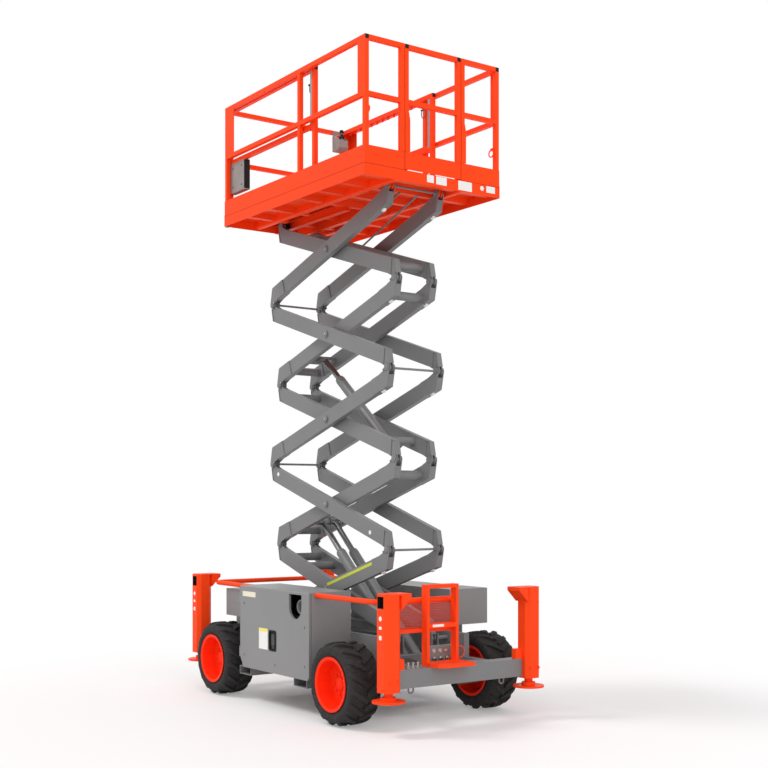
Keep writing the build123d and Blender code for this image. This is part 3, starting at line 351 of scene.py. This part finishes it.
for (kind, stage), plane_y in ARM_PLANE.items():
    centre, along, over, turn = arm_axes(kind, stage)
    body = f"arm_{kind}{stage}"
    pins = Form()
    for side in (-1, 1):
        out = Vector((0, side, 0))
        if kind == "a":
            for end in (-1, 1):
                at = centre + along * end * HALF + over * end * OFFSET
                for face in (-1, 1):
                    spot = at + Vector((0, side * plane_y + face * FORK_FACE, 0))
                    axis = Vector((0, face, 0))
                    pins.material = 0
                    pins.turned(PIN_HEAD, spot, axis, 28)
                    if face == side:
                        # keeper plate with its bolt
                        pins.prism(KEEPER, spot + axis * 0.005 - along * end * 0.024, along, over, -0.003 * face)
                        pins.material = 1
                        pins.bolt(spot + axis * 0.007 - along * end * 0.044, axis, 0.010)
        if plane_y == INNER:
            pins.material = 0
            spot = centre + Vector((0, side * CENTRE_HEAD_Y, 0))
            pins.turned(CENTRE_HEAD, spot, out, 32)
            pins.material = 1
            pins.bolt(spot + out * 0.007, out, 0.014)
    if pins.points:
        pins.piece(f"{body}_pins", body, [GREY, ZINC])
    if (kind, stage) in STOP_ARMS:
        stops = Form()
        for side in (-1, 1):
            spot = centre + along * (HALF - 0.135) + over * -TUBE_HALF_DEPTH + Vector((0, side * plane_y, 0))
            stops.prism(STOP_OUTLINE, spot - Vector((0, STOP_WIDTH / 2, 0)), along, over, STOP_WIDTH * turn)
        stops.piece(f"{body}_stops", body, WHITE, bevel=0.003)

# plates that close the slanted ends of the tubes, short of the pins
END_EDGE = (Vector((HALF - 0.045, -TUBE_HALF_DEPTH)), Vector((HALF + 0.031, OFFSET - 0.018)))
END_SKIN = 0.002
END_FLAT = (HALF - 0.092, -0.0635, -0.0675)  # start of the plate's level leg, its two faces
PLATE_HALF_WIDTH, PLATE_REACH = {"a": 0.0246, "b": 0.0250}, {"a": 0.68, "b": 0.80}
for (kind, stage), plane_y in ARM_PLANE.items():
    centre, along, over, turn = arm_axes(kind, stage)
    half = PLATE_HALF_WIDTH[kind]
    outward = Vector((END_EDGE[1].y - END_EDGE[0].y, END_EDGE[0].x - END_EDGE[1].x)).normalized()
    tip = END_EDGE[0].lerp(END_EDGE[1], PLATE_REACH[kind])
    sheet = [Vector((END_FLAT[0], END_FLAT[1])), Vector((HALF - 0.046, END_FLAT[1])), tip - outward * END_SKIN,
             tip + outward * END_SKIN, Vector((HALF - 0.0437, END_FLAT[2])), Vector((END_FLAT[0], END_FLAT[2]))]
    plates = Form()
    for side in (-1, 1):
        for end in (-1, 1):
            plates.prism([tuple(p * end) for p in reversed(sheet)],
                         centre + Vector((0, side * plane_y - turn * half, 0)), along, over, 2 * half)
    plates.piece(f"arm_{kind}{stage}_end_plates", f"arm_{kind}{stage}", GREY, bevel=0.001)

# reflective stripe on the lowest outer arm, round blank stickers on the next one
STRIPE = [(0.03, 0.024), (0.955, 0.024), (0.955, 0.050), (0.03, 0.050)]
STICKERS = ((0.8925, 0.019), (-0.735, -0.021))
centre, along, over, turn = arm_axes("a", 1)
for where, side in SIDES:
    stripe = Form()
    spot = centre + Vector((0, side * (OUTER + TUBE_HALF_WIDTH), 0))
    stripe.prism(STRIPE, spot, along, over, 0.0012 * side * turn)
    stripe.piece(f"stripe_{where}", "arm_a1", HI_VIS)
centre, along, over, turn = arm_axes("b", 2)
for where, side in SIDES:
    discs = Form()
    for u, w in STICKERS:
        spot = centre + along * u + over * w + Vector((0, side * (OUTER + TUBE_HALF_WIDTH), 0))
        discs.turned([(0.019, -0.001), (0.019, 0.001), (0, 0.0012)], spot, (0, side, 0), 32)
    discs.piece(f"stickers_{where}", "arm_b2", WHITE)

# ------------------------------------------------------------------ tyres
AXLE_Z = (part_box("tyre_rear_left")[0][2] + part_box("tyre_rear_left")[1][2]) / 2
TRACK_HALF = 0.726
LUGS = 16
LUG_SKEW = math.tan(math.radians(34))
LUG_ROW_Y, ROLL_RADIUS = 0.072, 0.33
CARCASS_STEPS = 96
CARCASS = [(0.2085, -0.134), (0.228, -0.1365), (0.243, -0.1445), (0.262, -0.1495), (0.280, -0.1495), (0.284, -0.1475),
           (0.296, -0.147), (0.306, -0.141), (0.3135, -0.128), (0.3165, -0.100), (0.3185, -0.045)]  # radius, across
CARCASS += [(r, -y) for r, y in reversed(CARCASS)]
LUG_STATIONS = [(-0.004, 0.3395, 0.0175), (0.010, 0.3410, 0.0200), (0.045, 0.3415, 0.0215), (0.085, 0.3400, 0.0225),
                (0.112, 0.3360, 0.0235), (0.130, 0.3260, 0.0240), (0.1415, 0.3110, 0.0240), (0.1485, 0.2920, 0.0225),
                (0.1497, 0.2760, 0.0180)]  # across, radius of the top, half width


def tyre(where, x, side):
    """Carcass and lugs of one tyre, in place of the plain CAD tyre."""
    form = Form()
    middle = Vector((x, side * TRACK_HALF, AXLE_Z))

    def place(radius, y, turn):
        return middle + Vector((radius * math.sin(turn), side * y, radius * math.cos(turn)))

    steps, rows = CARCASS_STEPS, len(CARCASS)
    points, faces = [], []
    for radius, y in CARCASS:
        points += [place(radius, y, 2 * math.pi * i / steps) for i in range(steps)]
    for k in range(rows):
        for i in range(steps):
            j = (i + 1) % steps
            n = (k + 1) % rows
            face = (k * steps + i, k * steps + j, n * steps + j, n * steps + i)
            faces.append(face if side < 0 else face[::-1])
    form.add(points, faces)
    last = 4 * (len(LUG_STATIONS) - 1)
    for row in (-1, 1):
        for i in range(LUGS):
            first = 2 * math.pi * (i + (0.5 if row > 0 else 0)) / LUGS
            points, faces = [], []
            for y, top, half in LUG_STATIONS:
                centre_turn = first + (y - LUG_ROW_Y) * LUG_SKEW / ROLL_RADIUS
                depth = 0.026 if y < 0.12 else 0.022
                for offset, radius in ((-half * 1.12, top - depth), (-half * 0.9, top), (half * 0.9, top),
                                       (half * 1.12, top - depth)):
                    # the lug's base is a little wider than its face, and stays inside the carcass at the shoulder
                    inward = 0.006 if (y > 0.14 and radius < top) else 0.0
                    points.append(place(radius, row * (y - inward), centre_turn + offset / ROLL_RADIUS))
            for k in range(len(LUG_STATIONS) - 1):
                a, b = 4 * k, 4 * k + 4
                faces += [(a + m, a + m + 1, b + m + 1, b + m) for m in range(3)]
            faces += [(3, 2, 1, 0), (last, last + 1, last + 2, last + 3)]
            form.add(points, faces if row * side > 0 else [face[::-1] for face in faces])
    obj = form.piece(f"tyre_tread_{where}", f"wheel_{where}", RUBBER, bevel=0.0022, smooth=32)
    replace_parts(obj, f"tyre_{where}")


WHEELS = [("rear_left", -0.977, 1), ("rear_right", -0.977, -1), ("front_left", 1.078, 1), ("front_right", 1.078, -1)]
HUB_OUT = 0.030  # hub's face, outward of the tyre's middle
HUB_CAP = [(0.112, 0.0), (0.108, 0.008), (0.058, 0.011), (0.054, 0.028), (0.046, 0.034), (0, 0.034)]
NUTS, NUT_CIRCLE = 9, 0.086
for where, x, side in WHEELS:
    tyre(where, x, side)
    hub = Form()
    face = Vector((x, side * (TRACK_HALF + HUB_OUT), AXLE_Z))
    out = (0, side, 0)
    hub.turned(HUB_CAP, face, out, 48)
    for i in range(NUTS):
        turn = 2 * math.pi * i / NUTS
        hub.bolt(face + Vector((NUT_CIRCLE * math.cos(turn), side * 0.011, NUT_CIRCLE * math.sin(turn))), out, 0.024)
    # valve stem
    hub.bar([(x + 0.165, side * 0.758, AXLE_Z + 0.02), (x + 0.172, side * 0.785, AXLE_Z + 0.021)], 0.005, 10)
    hub.piece(f"hub_{where}", f"wheel_{where}", RIM_ORANGE)

# ------------------------------------------------------------------ mesh behind the ladder
PITCH, STRAND, MARGIN, TUCK, RIM_BAR = 0.0125, 0.0016, 0.010, 0.008, 0.009
low, high = [Vector(c) for c in (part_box("mesh_guard")[0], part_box("mesh_guard")[1])]
mid_x = (low.x + high.x) / 2
wide, tall = high.y - low.y - 2 * MARGIN, high.z - low.z - 2 * MARGIN
screen = Form()
for i in range(int(wide / PITCH) + 1):
    y = low.y + MARGIN + i * wide / int(wide / PITCH)
    screen.box((mid_x - 0.001, y - STRAND, low.z + TUCK), (mid_x + 0.001, y + STRAND, high.z - TUCK))
for i in range(int(tall / PITCH) + 1):
    z = low.z + MARGIN + i * tall / int(tall / PITCH)
    screen.box((mid_x - 0.0015, low.y + TUCK, z - STRAND), (mid_x + 0.0005, high.y - TUCK, z + STRAND))
for one, other in ((low, (high.x, low.y + RIM_BAR, high.z)), (high, (low.x, high.y - RIM_BAR, low.z)),
                   (high, (low.x, low.y, high.z - RIM_BAR)), (low, (high.x, high.y, low.z + RIM_BAR))):
    screen.box(one, other)
grid = screen.piece("mesh_screen", "base", MESH_RED)
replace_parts(grid, "mesh_guard")

# ------------------------------------------------------------------ outriggers
LEG_X, LEG_Y, LEG_HALF, LEG_TOP = 1.5835, 0.7246, 0.078, 1.109
PORT_Z = (0.995, 1.089)
PORT_DEPTH, LINER = 0.050, 0.003
PORT_WALLS = (((-0.0415, 0.001), (-0.0385, 0.093)), ((0.0385, 0.001), (0.0415, 0.093)),
              ((-0.0415, 0.001), (0.0415, 0.004)), ((-0.0415, 0.090), (0.0415, 0.093)))  # corners from the port's foot
BEAM_TOP = 0.505
for end, sign in ENDS:
    for where, side in SIDES:
        at_x, at_y = sign * LEG_X, side * (LEG_Y + LEG_HALF)
        out = (0, side, 0)
        back = at_y - side * PORT_DEPTH
        liner = Form()
        liner.box((at_x - 0.041, back, PORT_Z[0] + 0.001), (at_x + 0.041, back + side * LINER, PORT_Z[1] - 0.001))
        for (x0, z0), (x1, z1) in PORT_WALLS:
            liner.box((at_x + x0, back, PORT_Z[0] + z0), (at_x + x1, at_y - side * 0.002, PORT_Z[0] + z1))
        # plug and latch seen in the window
        liner.material = 1
        liner.turned([(0.016, 0), (0.016, 0.010), (0.011, 0.014), (0, 0.014)],
                     (at_x - 0.008, back + side * LINER, PORT_Z[0] + 0.055), out, 24)
        liner.bolt((at_x + 0.024, back + side * LINER, PORT_Z[0] + 0.024), out, 0.014)
        liner.piece(f"leg_port_{end}_{where}", "base", [BLACK, STEEL], bevel=0.0008)
        trim = Form()
        for dy in (-0.040, 0.040):
            trim.turned([(0.0075, -0.001), (0.0075, 0.002), (0.004, 0.0045), (0, 0.005)],
                        (at_x + sign * LEG_HALF, side * LEG_Y + dy, 0.978), (sign, 0, 0), 20)
            trim.bolt((at_x + sign * LEG_HALF, side * LEG_Y + dy, 0.430), (sign, 0, 0), 0.022)
        trim.piece(f"leg_bolts_{end}_{where}", "base", ORANGE)
        marks = Form()
        face_y = at_y - side * 0.0005
        marks.turned([(0.0185, 0), (0.0185, 0.0015), (0, 0.0015)], (at_x, face_y, 0.918), out, 36)
        marks.side_panel(rounded(0.034, 0.022, 0.004), (at_x, face_y, 0.846), side, 0.0015)
        marks.side_panel(rounded(0.034, 0.034, 0.006), (at_x, face_y, 0.770), side, 0.0015)
        marks.piece(f"leg_marks_{end}_{where}", "base", WHITE)

# ------------------------------------------------------------------ hood doors
SIDE_Y = 0.824
TRAY_X, TRAY_Z, TRAY_DEPTH = 0.033, 0.599, 0.012
TRAY_OUTER, TRAY_INNER = rounded(0.136, 0.182, 0.024), rounded(0.112, 0.158, 0.018)
TRAY_RINGS = ((TRAY_OUTER, 0.0), (TRAY_OUTER, 0.011), (TRAY_INNER, 0.011), (TRAY_INNER, 0.004))
STUDS = ((-0.005, 0.392), (0.545, 0.430), (-0.500, 0.430), (0.545, 0.900), (-0.500, 0.760))
DOOR_PLATES = (((0.155, 0.185, 0.006), 0.193, 0.604, -0.0003, 0.0013),
               ((0.155, 0.026, 0.004), 0.193, 0.6815, 0.0009, 0.0006),
               ((0.235, 0.046, 0.004), 0.452, 0.983, -0.0003, 0.0013))  # outline, x, z, lift off the door, thickness
for where, side in SIDES:
    tray = Form()
    floor_y = side * (SIDE_Y - TRAY_DEPTH)
    tray.side_panel(TRAY_OUTER, (TRAY_X, floor_y, TRAY_Z), side, 0.002)
    count = len(TRAY_OUTER)
    points, faces = [], []
    for outline, y in TRAY_RINGS:
        points += [(TRAY_X + a, floor_y + side * y, TRAY_Z + b) for a, b in outline]
    for k in range(len(TRAY_RINGS) - 1):
        for i in range(count):
            j = (i + 1) % count
            face = (k * count + i, k * count + j, (k + 1) * count + j, (k + 1) * count + i)
            faces.append(face if side < 0 else face[::-1])
    tray.add(points, faces)
    # handle and lock
    tray.material = 1
    tray.side_panel(rounded(0.052, 0.100, 0.012), (TRAY_X, floor_y + side * 0.002, 0.606), side, 0.006)
    tray.turned([(0.013, 0), (0.013, 0.004), (0.010, 0.006), (0, 0.006)], (TRAY_X, floor_y + side * 0.002, 0.540),
                (0, side, 0), 24)
    tray.piece(f"latch_{where}", f"door_{where}", [BLACK, STEEL], bevel=0.001)

plates = Form()
for i, (size, x, z, lift, thickness) in enumerate(DOOR_PLATES):
    plates.material = i
    plates.side_panel(rounded(*size), (x, SIDE_Y + lift, z), 1, thickness)
plates.piece("door_plates", "door_left", [WHITE, YELLOW, CREAM])
for where, side in SIDES:
    studs = Form()
    for x, z in STUDS:
        studs.bolt((x, side * (SIDE_Y - 0.0005), z), (0, side, 0), 0.017)
    studs.piece(f"door_studs_{where}", f"door_{where}", CABINET)

# exhaust outlet behind the round-bottomed opening
pipe = Form()
pipe.turned([(0.058, -0.30), (0.058, -0.012), (0.062, -0.006), (0.060, 0.0), (0.054, 0.0), (0.051, -0.006),
             (0.051, -0.16), (0, -0.16)], (-0.392, 0.796, 0.925), (0, 1, 0), 48)
# the black back and floor sheets behind the pipe are painted shade, darkening the hollow inside the hood behind the
# opening
pipe.material = 1
pipe.box((-0.560, 0.500, 0.836), (-0.150, 0.508, 1.045))
pipe.box((-0.560, 0.508, 0.836), (-0.150, 0.790, 0.840))
pipe.piece("exhaust", "base", [GREY, BLACK], bevel=0.0008)

# ------------------------------------------------------------------ fittings on both beams, tie-down eyes
FITTING_X, HOSE_BOW, HOSE_RISE = 1.528, 0.030, 0.044
FITTINGS = ((0.400, 0.20), (0.448, 0.15), (0.496, 0.10))  # y, reach of the hose
EYE_X, EYE_RADIUS, EYE_Z, EYE_TOP = 1.530, 0.024, 0.330, 0.360
for end, sign in ENDS:
    fittings = Form()
    for y, reach in FITTINGS:
        fittings.bolt((sign * FITTING_X, y, BEAM_TOP - 0.001), (0, 0, 1), 0.034)
        fittings.turned([(0.009, 0), (0.009, 0.024), (0.012, 0.026), (0.012, 0.038), (0, 0.038)],
                        (sign * FITTING_X, y, BEAM_TOP + 0.008), (0, 0, 1), 18)
    fittings.material = 1
    for y, reach in FITTINGS:
        route = [(sign * FITTING_X, y, BEAM_TOP + HOSE_RISE)]
        for i in range(1, 13):
            t = math.pi * i / 12
            route.append((sign * (FITTING_X - HOSE_BOW * math.sin(t)), y + reach * (t / math.pi),
                          BEAM_TOP + HOSE_RISE + HOSE_BOW * math.sin(t)))
        route.append((sign * FITTING_X, y + reach, BEAM_TOP - 0.004))
        fittings.bar(route, 0.0075, 12)
    fittings.piece(f"fittings_{end}", "base", [ZINC, HOSE])
    eyes = Form()
    for y in (-0.47, 0.47):
        route = [(sign * EYE_X, y - EYE_RADIUS, EYE_TOP), (sign * EYE_X, y - EYE_RADIUS, EYE_Z)]
        for i in range(1, 10):
            t = math.pi * i / 10
            route.append((sign * EYE_X, y - EYE_RADIUS * math.cos(t), EYE_Z - EYE_RADIUS * math.sin(t)))
        route += [(sign * EYE_X, y + EYE_RADIUS, EYE_Z), (sign * EYE_X, y + EYE_RADIUS, EYE_TOP)]
        eyes.bar(route, 0.007, 12)
    eyes.piece(f"tie_eyes_{end}", "base", GREY)

# valve block fittings and their hoses
VALVE_X, VALVE_Z, HOSE_X, HOSE_STEPS = -1.4395, 0.552, -1.4735, 14
valves = Form()
for y in (-0.020, 0.045, 0.110, 0.175):
    valves.bolt((VALVE_X, y, 0.610), (-1, 0, 0), 0.030)
    valves.turned([(0.014, 0), (0.014, 0.020), (0.009, 0.022), (0.009, 0.034), (0, 0.034)], (VALVE_X, y, VALVE_Z),
                  (-1, 0, 0), 18)
valves.material = 1
for y, drop in ((-0.020, 0.02), (0.110, 0.03), (0.175, 0.04)):
    valves.bar([(HOSE_X - 0.02 * math.sin(math.pi * i / HOSE_STEPS), y + 0.030 * i / HOSE_STEPS,
                 VALVE_Z - drop * i / HOSE_STEPS) for i in range(HOSE_STEPS + 1)], 0.007, 12)
valves.piece("valve_fittings", "base", [ZINC, HOSE])
loop = Form()
loop.bar(arc((-1.4300, -0.105, 0.585), 0.048, 0, 345, 26, (0, 1, 0), (0, 0, 1)), 0.0055, 12)
loop.bar([(-1.4300, -0.057, 0.585), (-1.4290, -0.056, 0.580), (-1.4250, -0.050, 0.575)], 0.0055, 12)
loop.piece("red_line", "base", ORANGE)

# ------------------------------------------------------------------ ladder strip, step studs, beacon
strip = Form()
strip.box((-1.5465, 0.150, 0.818), (-1.5449, 0.262, 0.838))
strip.piece("rung_strip", "base", WHITE)
cleats = Form()
for i in range(9):
    for k in range(5):
        cleats.turned([(0.006, -0.0005), (0.005, 0.0015), (0, 0.0018)], (-1.510 - 0.040 * k, 0.030 * i, 0.535),
                      (0, 0, 1), 10)
cleats.piece("step_studs", "base", ORANGE)
BEACON_AT = (LEG_X, -0.640, LEG_TOP)
RIBS, RIB_FOOT, RIB_PITCH = 8, 0.030, 0.0085
lamp = Form()
lamp.turned([(0.046, 0.0), (0.046, 0.016), (0.042, 0.022), (0.040, 0.026)], BEACON_AT, (0, 0, 1), 48)
lamp.material = 1
lens = [(0.0375, 0.026)]
for i in range(RIBS):
    z = RIB_FOOT + RIB_PITCH * i
    lens += [(0.0360, z), (0.0378, z + 0.003), (0.0378, z + 0.0055), (0.0360, z + RIB_PITCH)]
lens += [(0.0350, 0.102), (0.0290, 0.112), (0.0200, 0.120), (0.0100, 0.1238), (0, 0.124)]
lamp.turned(lens, BEACON_AT, (0, 0, 1), 48)
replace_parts(lamp.piece("beacon_lens", "base", [BLACK, AMBER]), "beacon")

# ------------------------------------------------------------------ guard rails and gate
REAR_FACE = -1.228
PLUG, PLUG_THICK, PLUG_Z = rounded(0.034, 0.034, 0.005), 0.0022, RAIL_TOP - 0.019
PAD_HEIGHTS = (4.78, 4.90, 5.02, 5.22, 5.34, 5.46)
FOOT = [(-0.019, 0.0), (0.031, 0.0), (0.031, 0.27), (0.019, 0.33), (-0.019, 0.33)]
caps = Form()
for y in (0.683, -0.683):
    caps.rear_panel(PLUG, (REAR_FACE - 0.0002, y, PLUG_Z), PLUG_THICK)
caps.piece("rail_plugs", "platform", BLACK)
gate_caps = Form()
for y in (0.285, -0.260):
    gate_caps.rear_panel(PLUG, (REAR_FACE - 0.0002, y, PLUG_Z), PLUG_THICK)
for z in PAD_HEIGHTS:
    gate_caps.box((-1.222, 0.304, z - 0.012), (-1.196, 0.3065, z + 0.012))
gate_caps.piece("gate_plugs", "gate", BLACK)
ext_caps = Form()
for side in (-1, 1):
    ext_caps.rear_panel(PLUG, (-0.3898, side * 0.637, RAIL_TOP - 0.025), PLUG_THICK)
ext_caps.piece("extension_plugs", "extension", BLACK)


def foot_plate(form, y, toward):
    """The stiffening plate at the foot of a post; its wide edge points toward +Y or -Y."""
    outline = [(a * toward, b) for a, b in FOOT]
    form.rear_panel(outline if toward > 0 else outline[::-1], (REAR_FACE, y, DECK + 0.150), 0.004)


feet = Form()
for y, toward in ((0.329, 1), (-0.304, -1)):
    foot_plate(feet, y, toward)
feet.piece("post_feet", "platform", ORANGE, bevel=0.001)
gate_feet = Form()
for y, toward in ((0.285, -1), (-0.260, 1)):
    foot_plate(gate_feet, y, toward)
# latch of the gate
gate_feet.material = 1
gate_feet.box((-1.190, -0.278, DECK + 0.560), (-1.176, -0.230, DECK + 0.600))
gate_feet.turned([(0.009, 0), (0.009, 0.050), (0, 0.050)], (-1.183, -0.2785, DECK + 0.580), (0, -1, 0), 16)
gate_feet.piece("gate_feet", "gate", [ORANGE, STEEL], bevel=0.001)

# anchor rings on the posts
for name, x, y, z in (("rear_right", -1.186, -0.650, 4.835), ("rear_left", -1.186, 0.650, 4.990),
                      ("middle_right", -0.204, -0.660, 5.010)):
    ring = Form()
    ring.bar(arc((x, y, z), 0.030, 0, 360, 28)[:-1], 0.0055, 12, closed=True)
    ring.box((x - 0.012, y, z + 0.024), (x + 0.012, y + math.copysign(0.014, y), z + 0.046))
    ring.piece(f"anchor_{name}", "platform", ORANGE)

# nylon sliders and retaining wires on the roll-out rails
for where, side in SIDES:
    slider = Form()
    slider.box((-0.352, side * 0.622, 5.078), (-0.314, side * 0.652, 5.5322))
    slider.piece(f"slider_{where}", "extension", SLIDER, bevel=0.002)
    wire = Form()
    y = side * 0.609
    drop = [(-0.300, y, 5.440), (-0.300, y, 5.395)] + arc((-0.270, y, 5.395), 0.030, 180, 360, 10)[1:]
    drop += [(-0.240, y, 5.440)]
    wire.bar(drop, 0.004, 10)
    wire.box((-0.310, min(y - 0.004, side * 0.618), 5.436), (-0.230, max(y + 0.004, side * 0.618), 5.450))
    wire.piece(f"slider_wire_{where}", "extension", STEEL)

# ------------------------------------------------------------------ platform skirt
PLATE_X = REAR_FACE + 0.0003
SKIRT_PLATES = ((0.008, 0.080, 4.474, 4.536), (-0.128, -0.016, 4.470, 4.536), (-0.400, -0.252, 4.458, 4.536),
                (-0.656, -0.560, 4.478, 4.534))  # from y, to y, from z, to z
plates = Form()
for low, high, bottom, top in SKIRT_PLATES:
    plates.rear_panel(rounded(high - low, top - bottom, 0.004), (PLATE_X, (low + high) / 2, (bottom + top) / 2), 0.0015)
plates.turned([(0.020, 0), (0.020, 0.0012), (0, 0.0012)], (PLATE_X, -0.512, 4.506), (-1, 0, 0), 32)
plates.piece("skirt_plates", "platform", WHITE)
SEAM_Z = (DECK - 0.0012, DECK + 0.0018)
seams = Form()
for side in (-1, 1):
    seams.box((-1.2275, side * 0.7085, SEAM_Z[0]), (1.1395, side * 0.7108, SEAM_Z[1]))
for low, high in ((0.310, 0.7095), (-0.7095, -0.285)):
    seams.box((REAR_FACE - 0.0008, low, SEAM_Z[0]), (REAR_FACE + 0.0015, high, SEAM_Z[1]))
seams.piece("skirt_seams", "platform", SEAM)
bumper = Form()
for where, side in SIDES:
    bumper.prism(rounded(0.034, 0.034, 0.006), (1.120, side * 0.691, 4.4475), (1, 0, 0), (0, 1, 0), -0.010)
bumper.piece("skirt_bumpers", "platform", SLIDER, bevel=0.002)

# tread studs on both decks
TREAD_PITCH = 0.045
TREAD = [(-0.013, 0), (-0.006, -0.0035), (0.006, -0.0035), (0.013, 0), (0.006, 0.0035), (-0.006, 0.0035)]
for name, body, (start, end), y_half, z in (("main_tread", "platform", (-1.19, -0.42), 0.66, DECK),
                                            ("roll_out_tread", "extension", (-0.37, 1.13), 0.62, DECK + 0.025)):
    tread = Form()
    columns = int((end - start) / TREAD_PITCH)
    rows = int(2 * y_half / TREAD_PITCH)
    for i in range(columns + 1):
        for k in range(rows + 1):
            x = start + i * (end - start) / columns
            y = -y_half + k * 2 * y_half / rows
            turn = math.radians(45 if (i + k) % 2 else -45)
            across, up = Vector((math.cos(turn), math.sin(turn), 0)), Vector((-math.sin(turn), math.cos(turn), 0))
            tread.prism(TREAD, (x, y, z - 0.0002), across, up, 0.0018)
    tread.piece(name, body, ORANGE)

# ------------------------------------------------------------------ console and document box
console_low, console_high = [Vector(corner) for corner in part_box("console")]
back = console_high.x
stick = Vector((back - 0.082, console_low.y + 0.045, console_high.z - 0.047))
panel = Form()
panel.turned([(0.030, -0.016), (0.027, -0.006), (0.021, 0.002), (0.017, 0.008), (0.012, 0.012), (0.0115, 0.030),
              (0.0205, 0.034), (0.0205, 0.060), (0.014, 0.0665), (0, 0.067)], stick - Vector((0, 0, 0.020)),
             (0, 0, 1), 32)
panel.piece("joystick_cover", "extension", BLACK)
slope = Vector((-0.085, 0, -0.062)).normalized()
normal = Vector((-0.062, 0, 0.085)).normalized()
panel_top = Vector((back - 0.050, console_low.y, RAIL_TOP - 0.070))
BUTTONS = ((1, 0.030, 0.085, 0.012), (0, 0.062, 0.085, 0.008), (0, 0.085, 0.085, 0.008),
           (0, 0.085, 0.030, 0.008))  # 1 for the mushroom head, distance down the slope, y, radius
buttons = Form()
for mushroom, down, y, radius in BUTTONS:
    head = [(radius, -0.002), (radius, 0.004), (radius * 0.8, 0.0055), (0, 0.0055)]
    if mushroom:
        head = [(radius * 0.9, -0.002), (radius * 0.9, 0.006), (radius * 1.25, 0.009), (radius * 1.1, 0.015),
                (0, 0.016)]
    buttons.material = mushroom
    buttons.turned(head, panel_top + slope * down + Vector((0, y, 0)), normal, 24)
buttons.piece("console_buttons", "extension", [BLACK, RIM_ORANGE])

low, high = [Vector(corner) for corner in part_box("document_box")]
doc = Form()
doc.box((low.x - 0.0015, low.y + 0.001, low.z + 0.008), (low.x + 0.010, high.y + 0.0015, high.z - 0.006))
doc.material = 1
for x in (low.x + 0.060, high.x - 0.060):
    for z in (low.z + 0.055, high.z - 0.050):
        doc.turned([(0.009, -0.001), (0.009, 0.001), (0.006, 0.0035), (0, 0.004)], (x, high.y, z), (0, 1, 0), 24)
doc.piece("document_box_trim", "extension", [BLACK, STEEL], bevel=0.001)

# ------------------------------------------------------------------ rods beside the top arms
centre, along, over, turn = arm_axes("a", 5)
start = centre + along * (HALF - 0.030) + over * (OFFSET - 0.030)
end = centre + along * (HALF - 0.930) + over * 0.020
lines = Form()
for y in (0.138, -0.050):
    lines.bar([point + Vector((0, y, 0)) for point in (start, start.lerp(end, 0.03), end)], 0.0085, 12)
lines.piece("top_lines", "arm_a5", GREY)

# ------------------------------------------------------------------ floor, world and lights
FLOOR_HALF = 40
FLOOR_COLOUR = (0.87, 0.84, 0.838, 1)
PURE_WHITE = (1, 1, 1, 1)
FAR_WHITE, PAINTED_SHADOW_LIFT = ((2.6, 5.2), (0.0, 0.73)), ((0.5, 1.2), (0.0, 0.27))  # distances, share of plain white; the second pair is painted light, a white share that lightens the cast shadow on the floor


def shown_rays(nodes, links):
    """1 on the rays that show the background: camera, glossy and transmission rays."""
    ray = nodes.new("ShaderNodeLightPath").outputs
    either = calculate(nodes, links, "MAXIMUM", ray["Is Camera Ray"], ray["Is Glossy Ray"])
    return calculate(nodes, links, "MAXIMUM", either, ray["Is Transmission Ray"])


def blend(nodes, links, share, first, second, output):
    """Mixes two shaders by share into the output node."""
    mixer = nodes.new("ShaderNodeMixShader")
    links.new(share, mixer.inputs["Fac"])
    links.new(first.outputs[0], mixer.inputs[1])
    links.new(second.outputs[0], mixer.inputs[2])
    links.new(mixer.outputs[0], nodes[output].inputs["Surface"])


floor_mesh = bpy.data.meshes.new("floor")
corners = [(-FLOOR_HALF, -FLOOR_HALF, 0), (FLOOR_HALF, -FLOOR_HALF, 0), (FLOOR_HALF, FLOOR_HALF, 0),
           (-FLOOR_HALF, FLOOR_HALF, 0)]
floor_mesh.from_pydata(corners, [], [(0, 1, 2, 3)])
floor = bpy.data.objects.new("floor", floor_mesh)
scene.collection.objects.link(floor)
floor_paint, nodes, links, shader = new_material("floor_paint")
shader.inputs["Base Color"].default_value = FLOOR_COLOUR
shader.inputs["Roughness"].default_value = 0.6
shader.inputs["Specular IOR Level"].default_value = 0.15
floor.data.materials.append(floor_paint)
# the floor runs out to plain white around the machine, for rays that show the background; from half a metre out a
# smaller share of white glow is painted light that lightens the machine's cast shadow on the floor
length = nodes.new("ShaderNodeVectorMath")
length.operation = "LENGTH"
links.new(nodes.new("ShaderNodeTexCoord").outputs["Object"], length.inputs[0])
far, near = [map_range(nodes, links, length.outputs["Value"], *spread, smooth=True)
             for spread in (FAR_WHITE, PAINTED_SHADOW_LIFT)]
whole = calculate(nodes, links, "ADD", far, near)
share = calculate(nodes, links, "MULTIPLY", whole, shown_rays(nodes, links))
glow = nodes.new("ShaderNodeEmission")
glow.inputs["Color"].default_value = PURE_WHITE
glow.inputs["Strength"].default_value = 1.0
blend(nodes, links, share, shader, glow, "Material Output")

world = bpy.data.worlds.new("world")
scene.world = world
world.use_nodes = True
nodes, links = world.node_tree.nodes, world.node_tree.links
background, seen = nodes["Background"], nodes.new("ShaderNodeBackground")
for node, strength in ((background, 0.68), (seen, 1.0)):
    node.inputs["Color"].default_value = PURE_WHITE
    node.inputs["Strength"].default_value = strength
blend(nodes, links, shown_rays(nodes, links), background, seen, "World Output")


def sun(name, direction, strength, spread):
    """A sun shining along direction; spread is its width in degrees."""
    data = bpy.data.lights.new(name, "SUN")
    data.energy = strength
    data.angle = math.radians(spread)
    lamp = bpy.data.objects.new(name, data)
    lamp.rotation_euler = Vector(direction).to_track_quat("-Z", "Y").to_euler()
    scene.collection.objects.link(lamp)


sun("key", (-0.55, -0.75, -1.25), 1.25, 16)
sun("fill", (0.9, -0.35, -0.6), 1.0, 60)
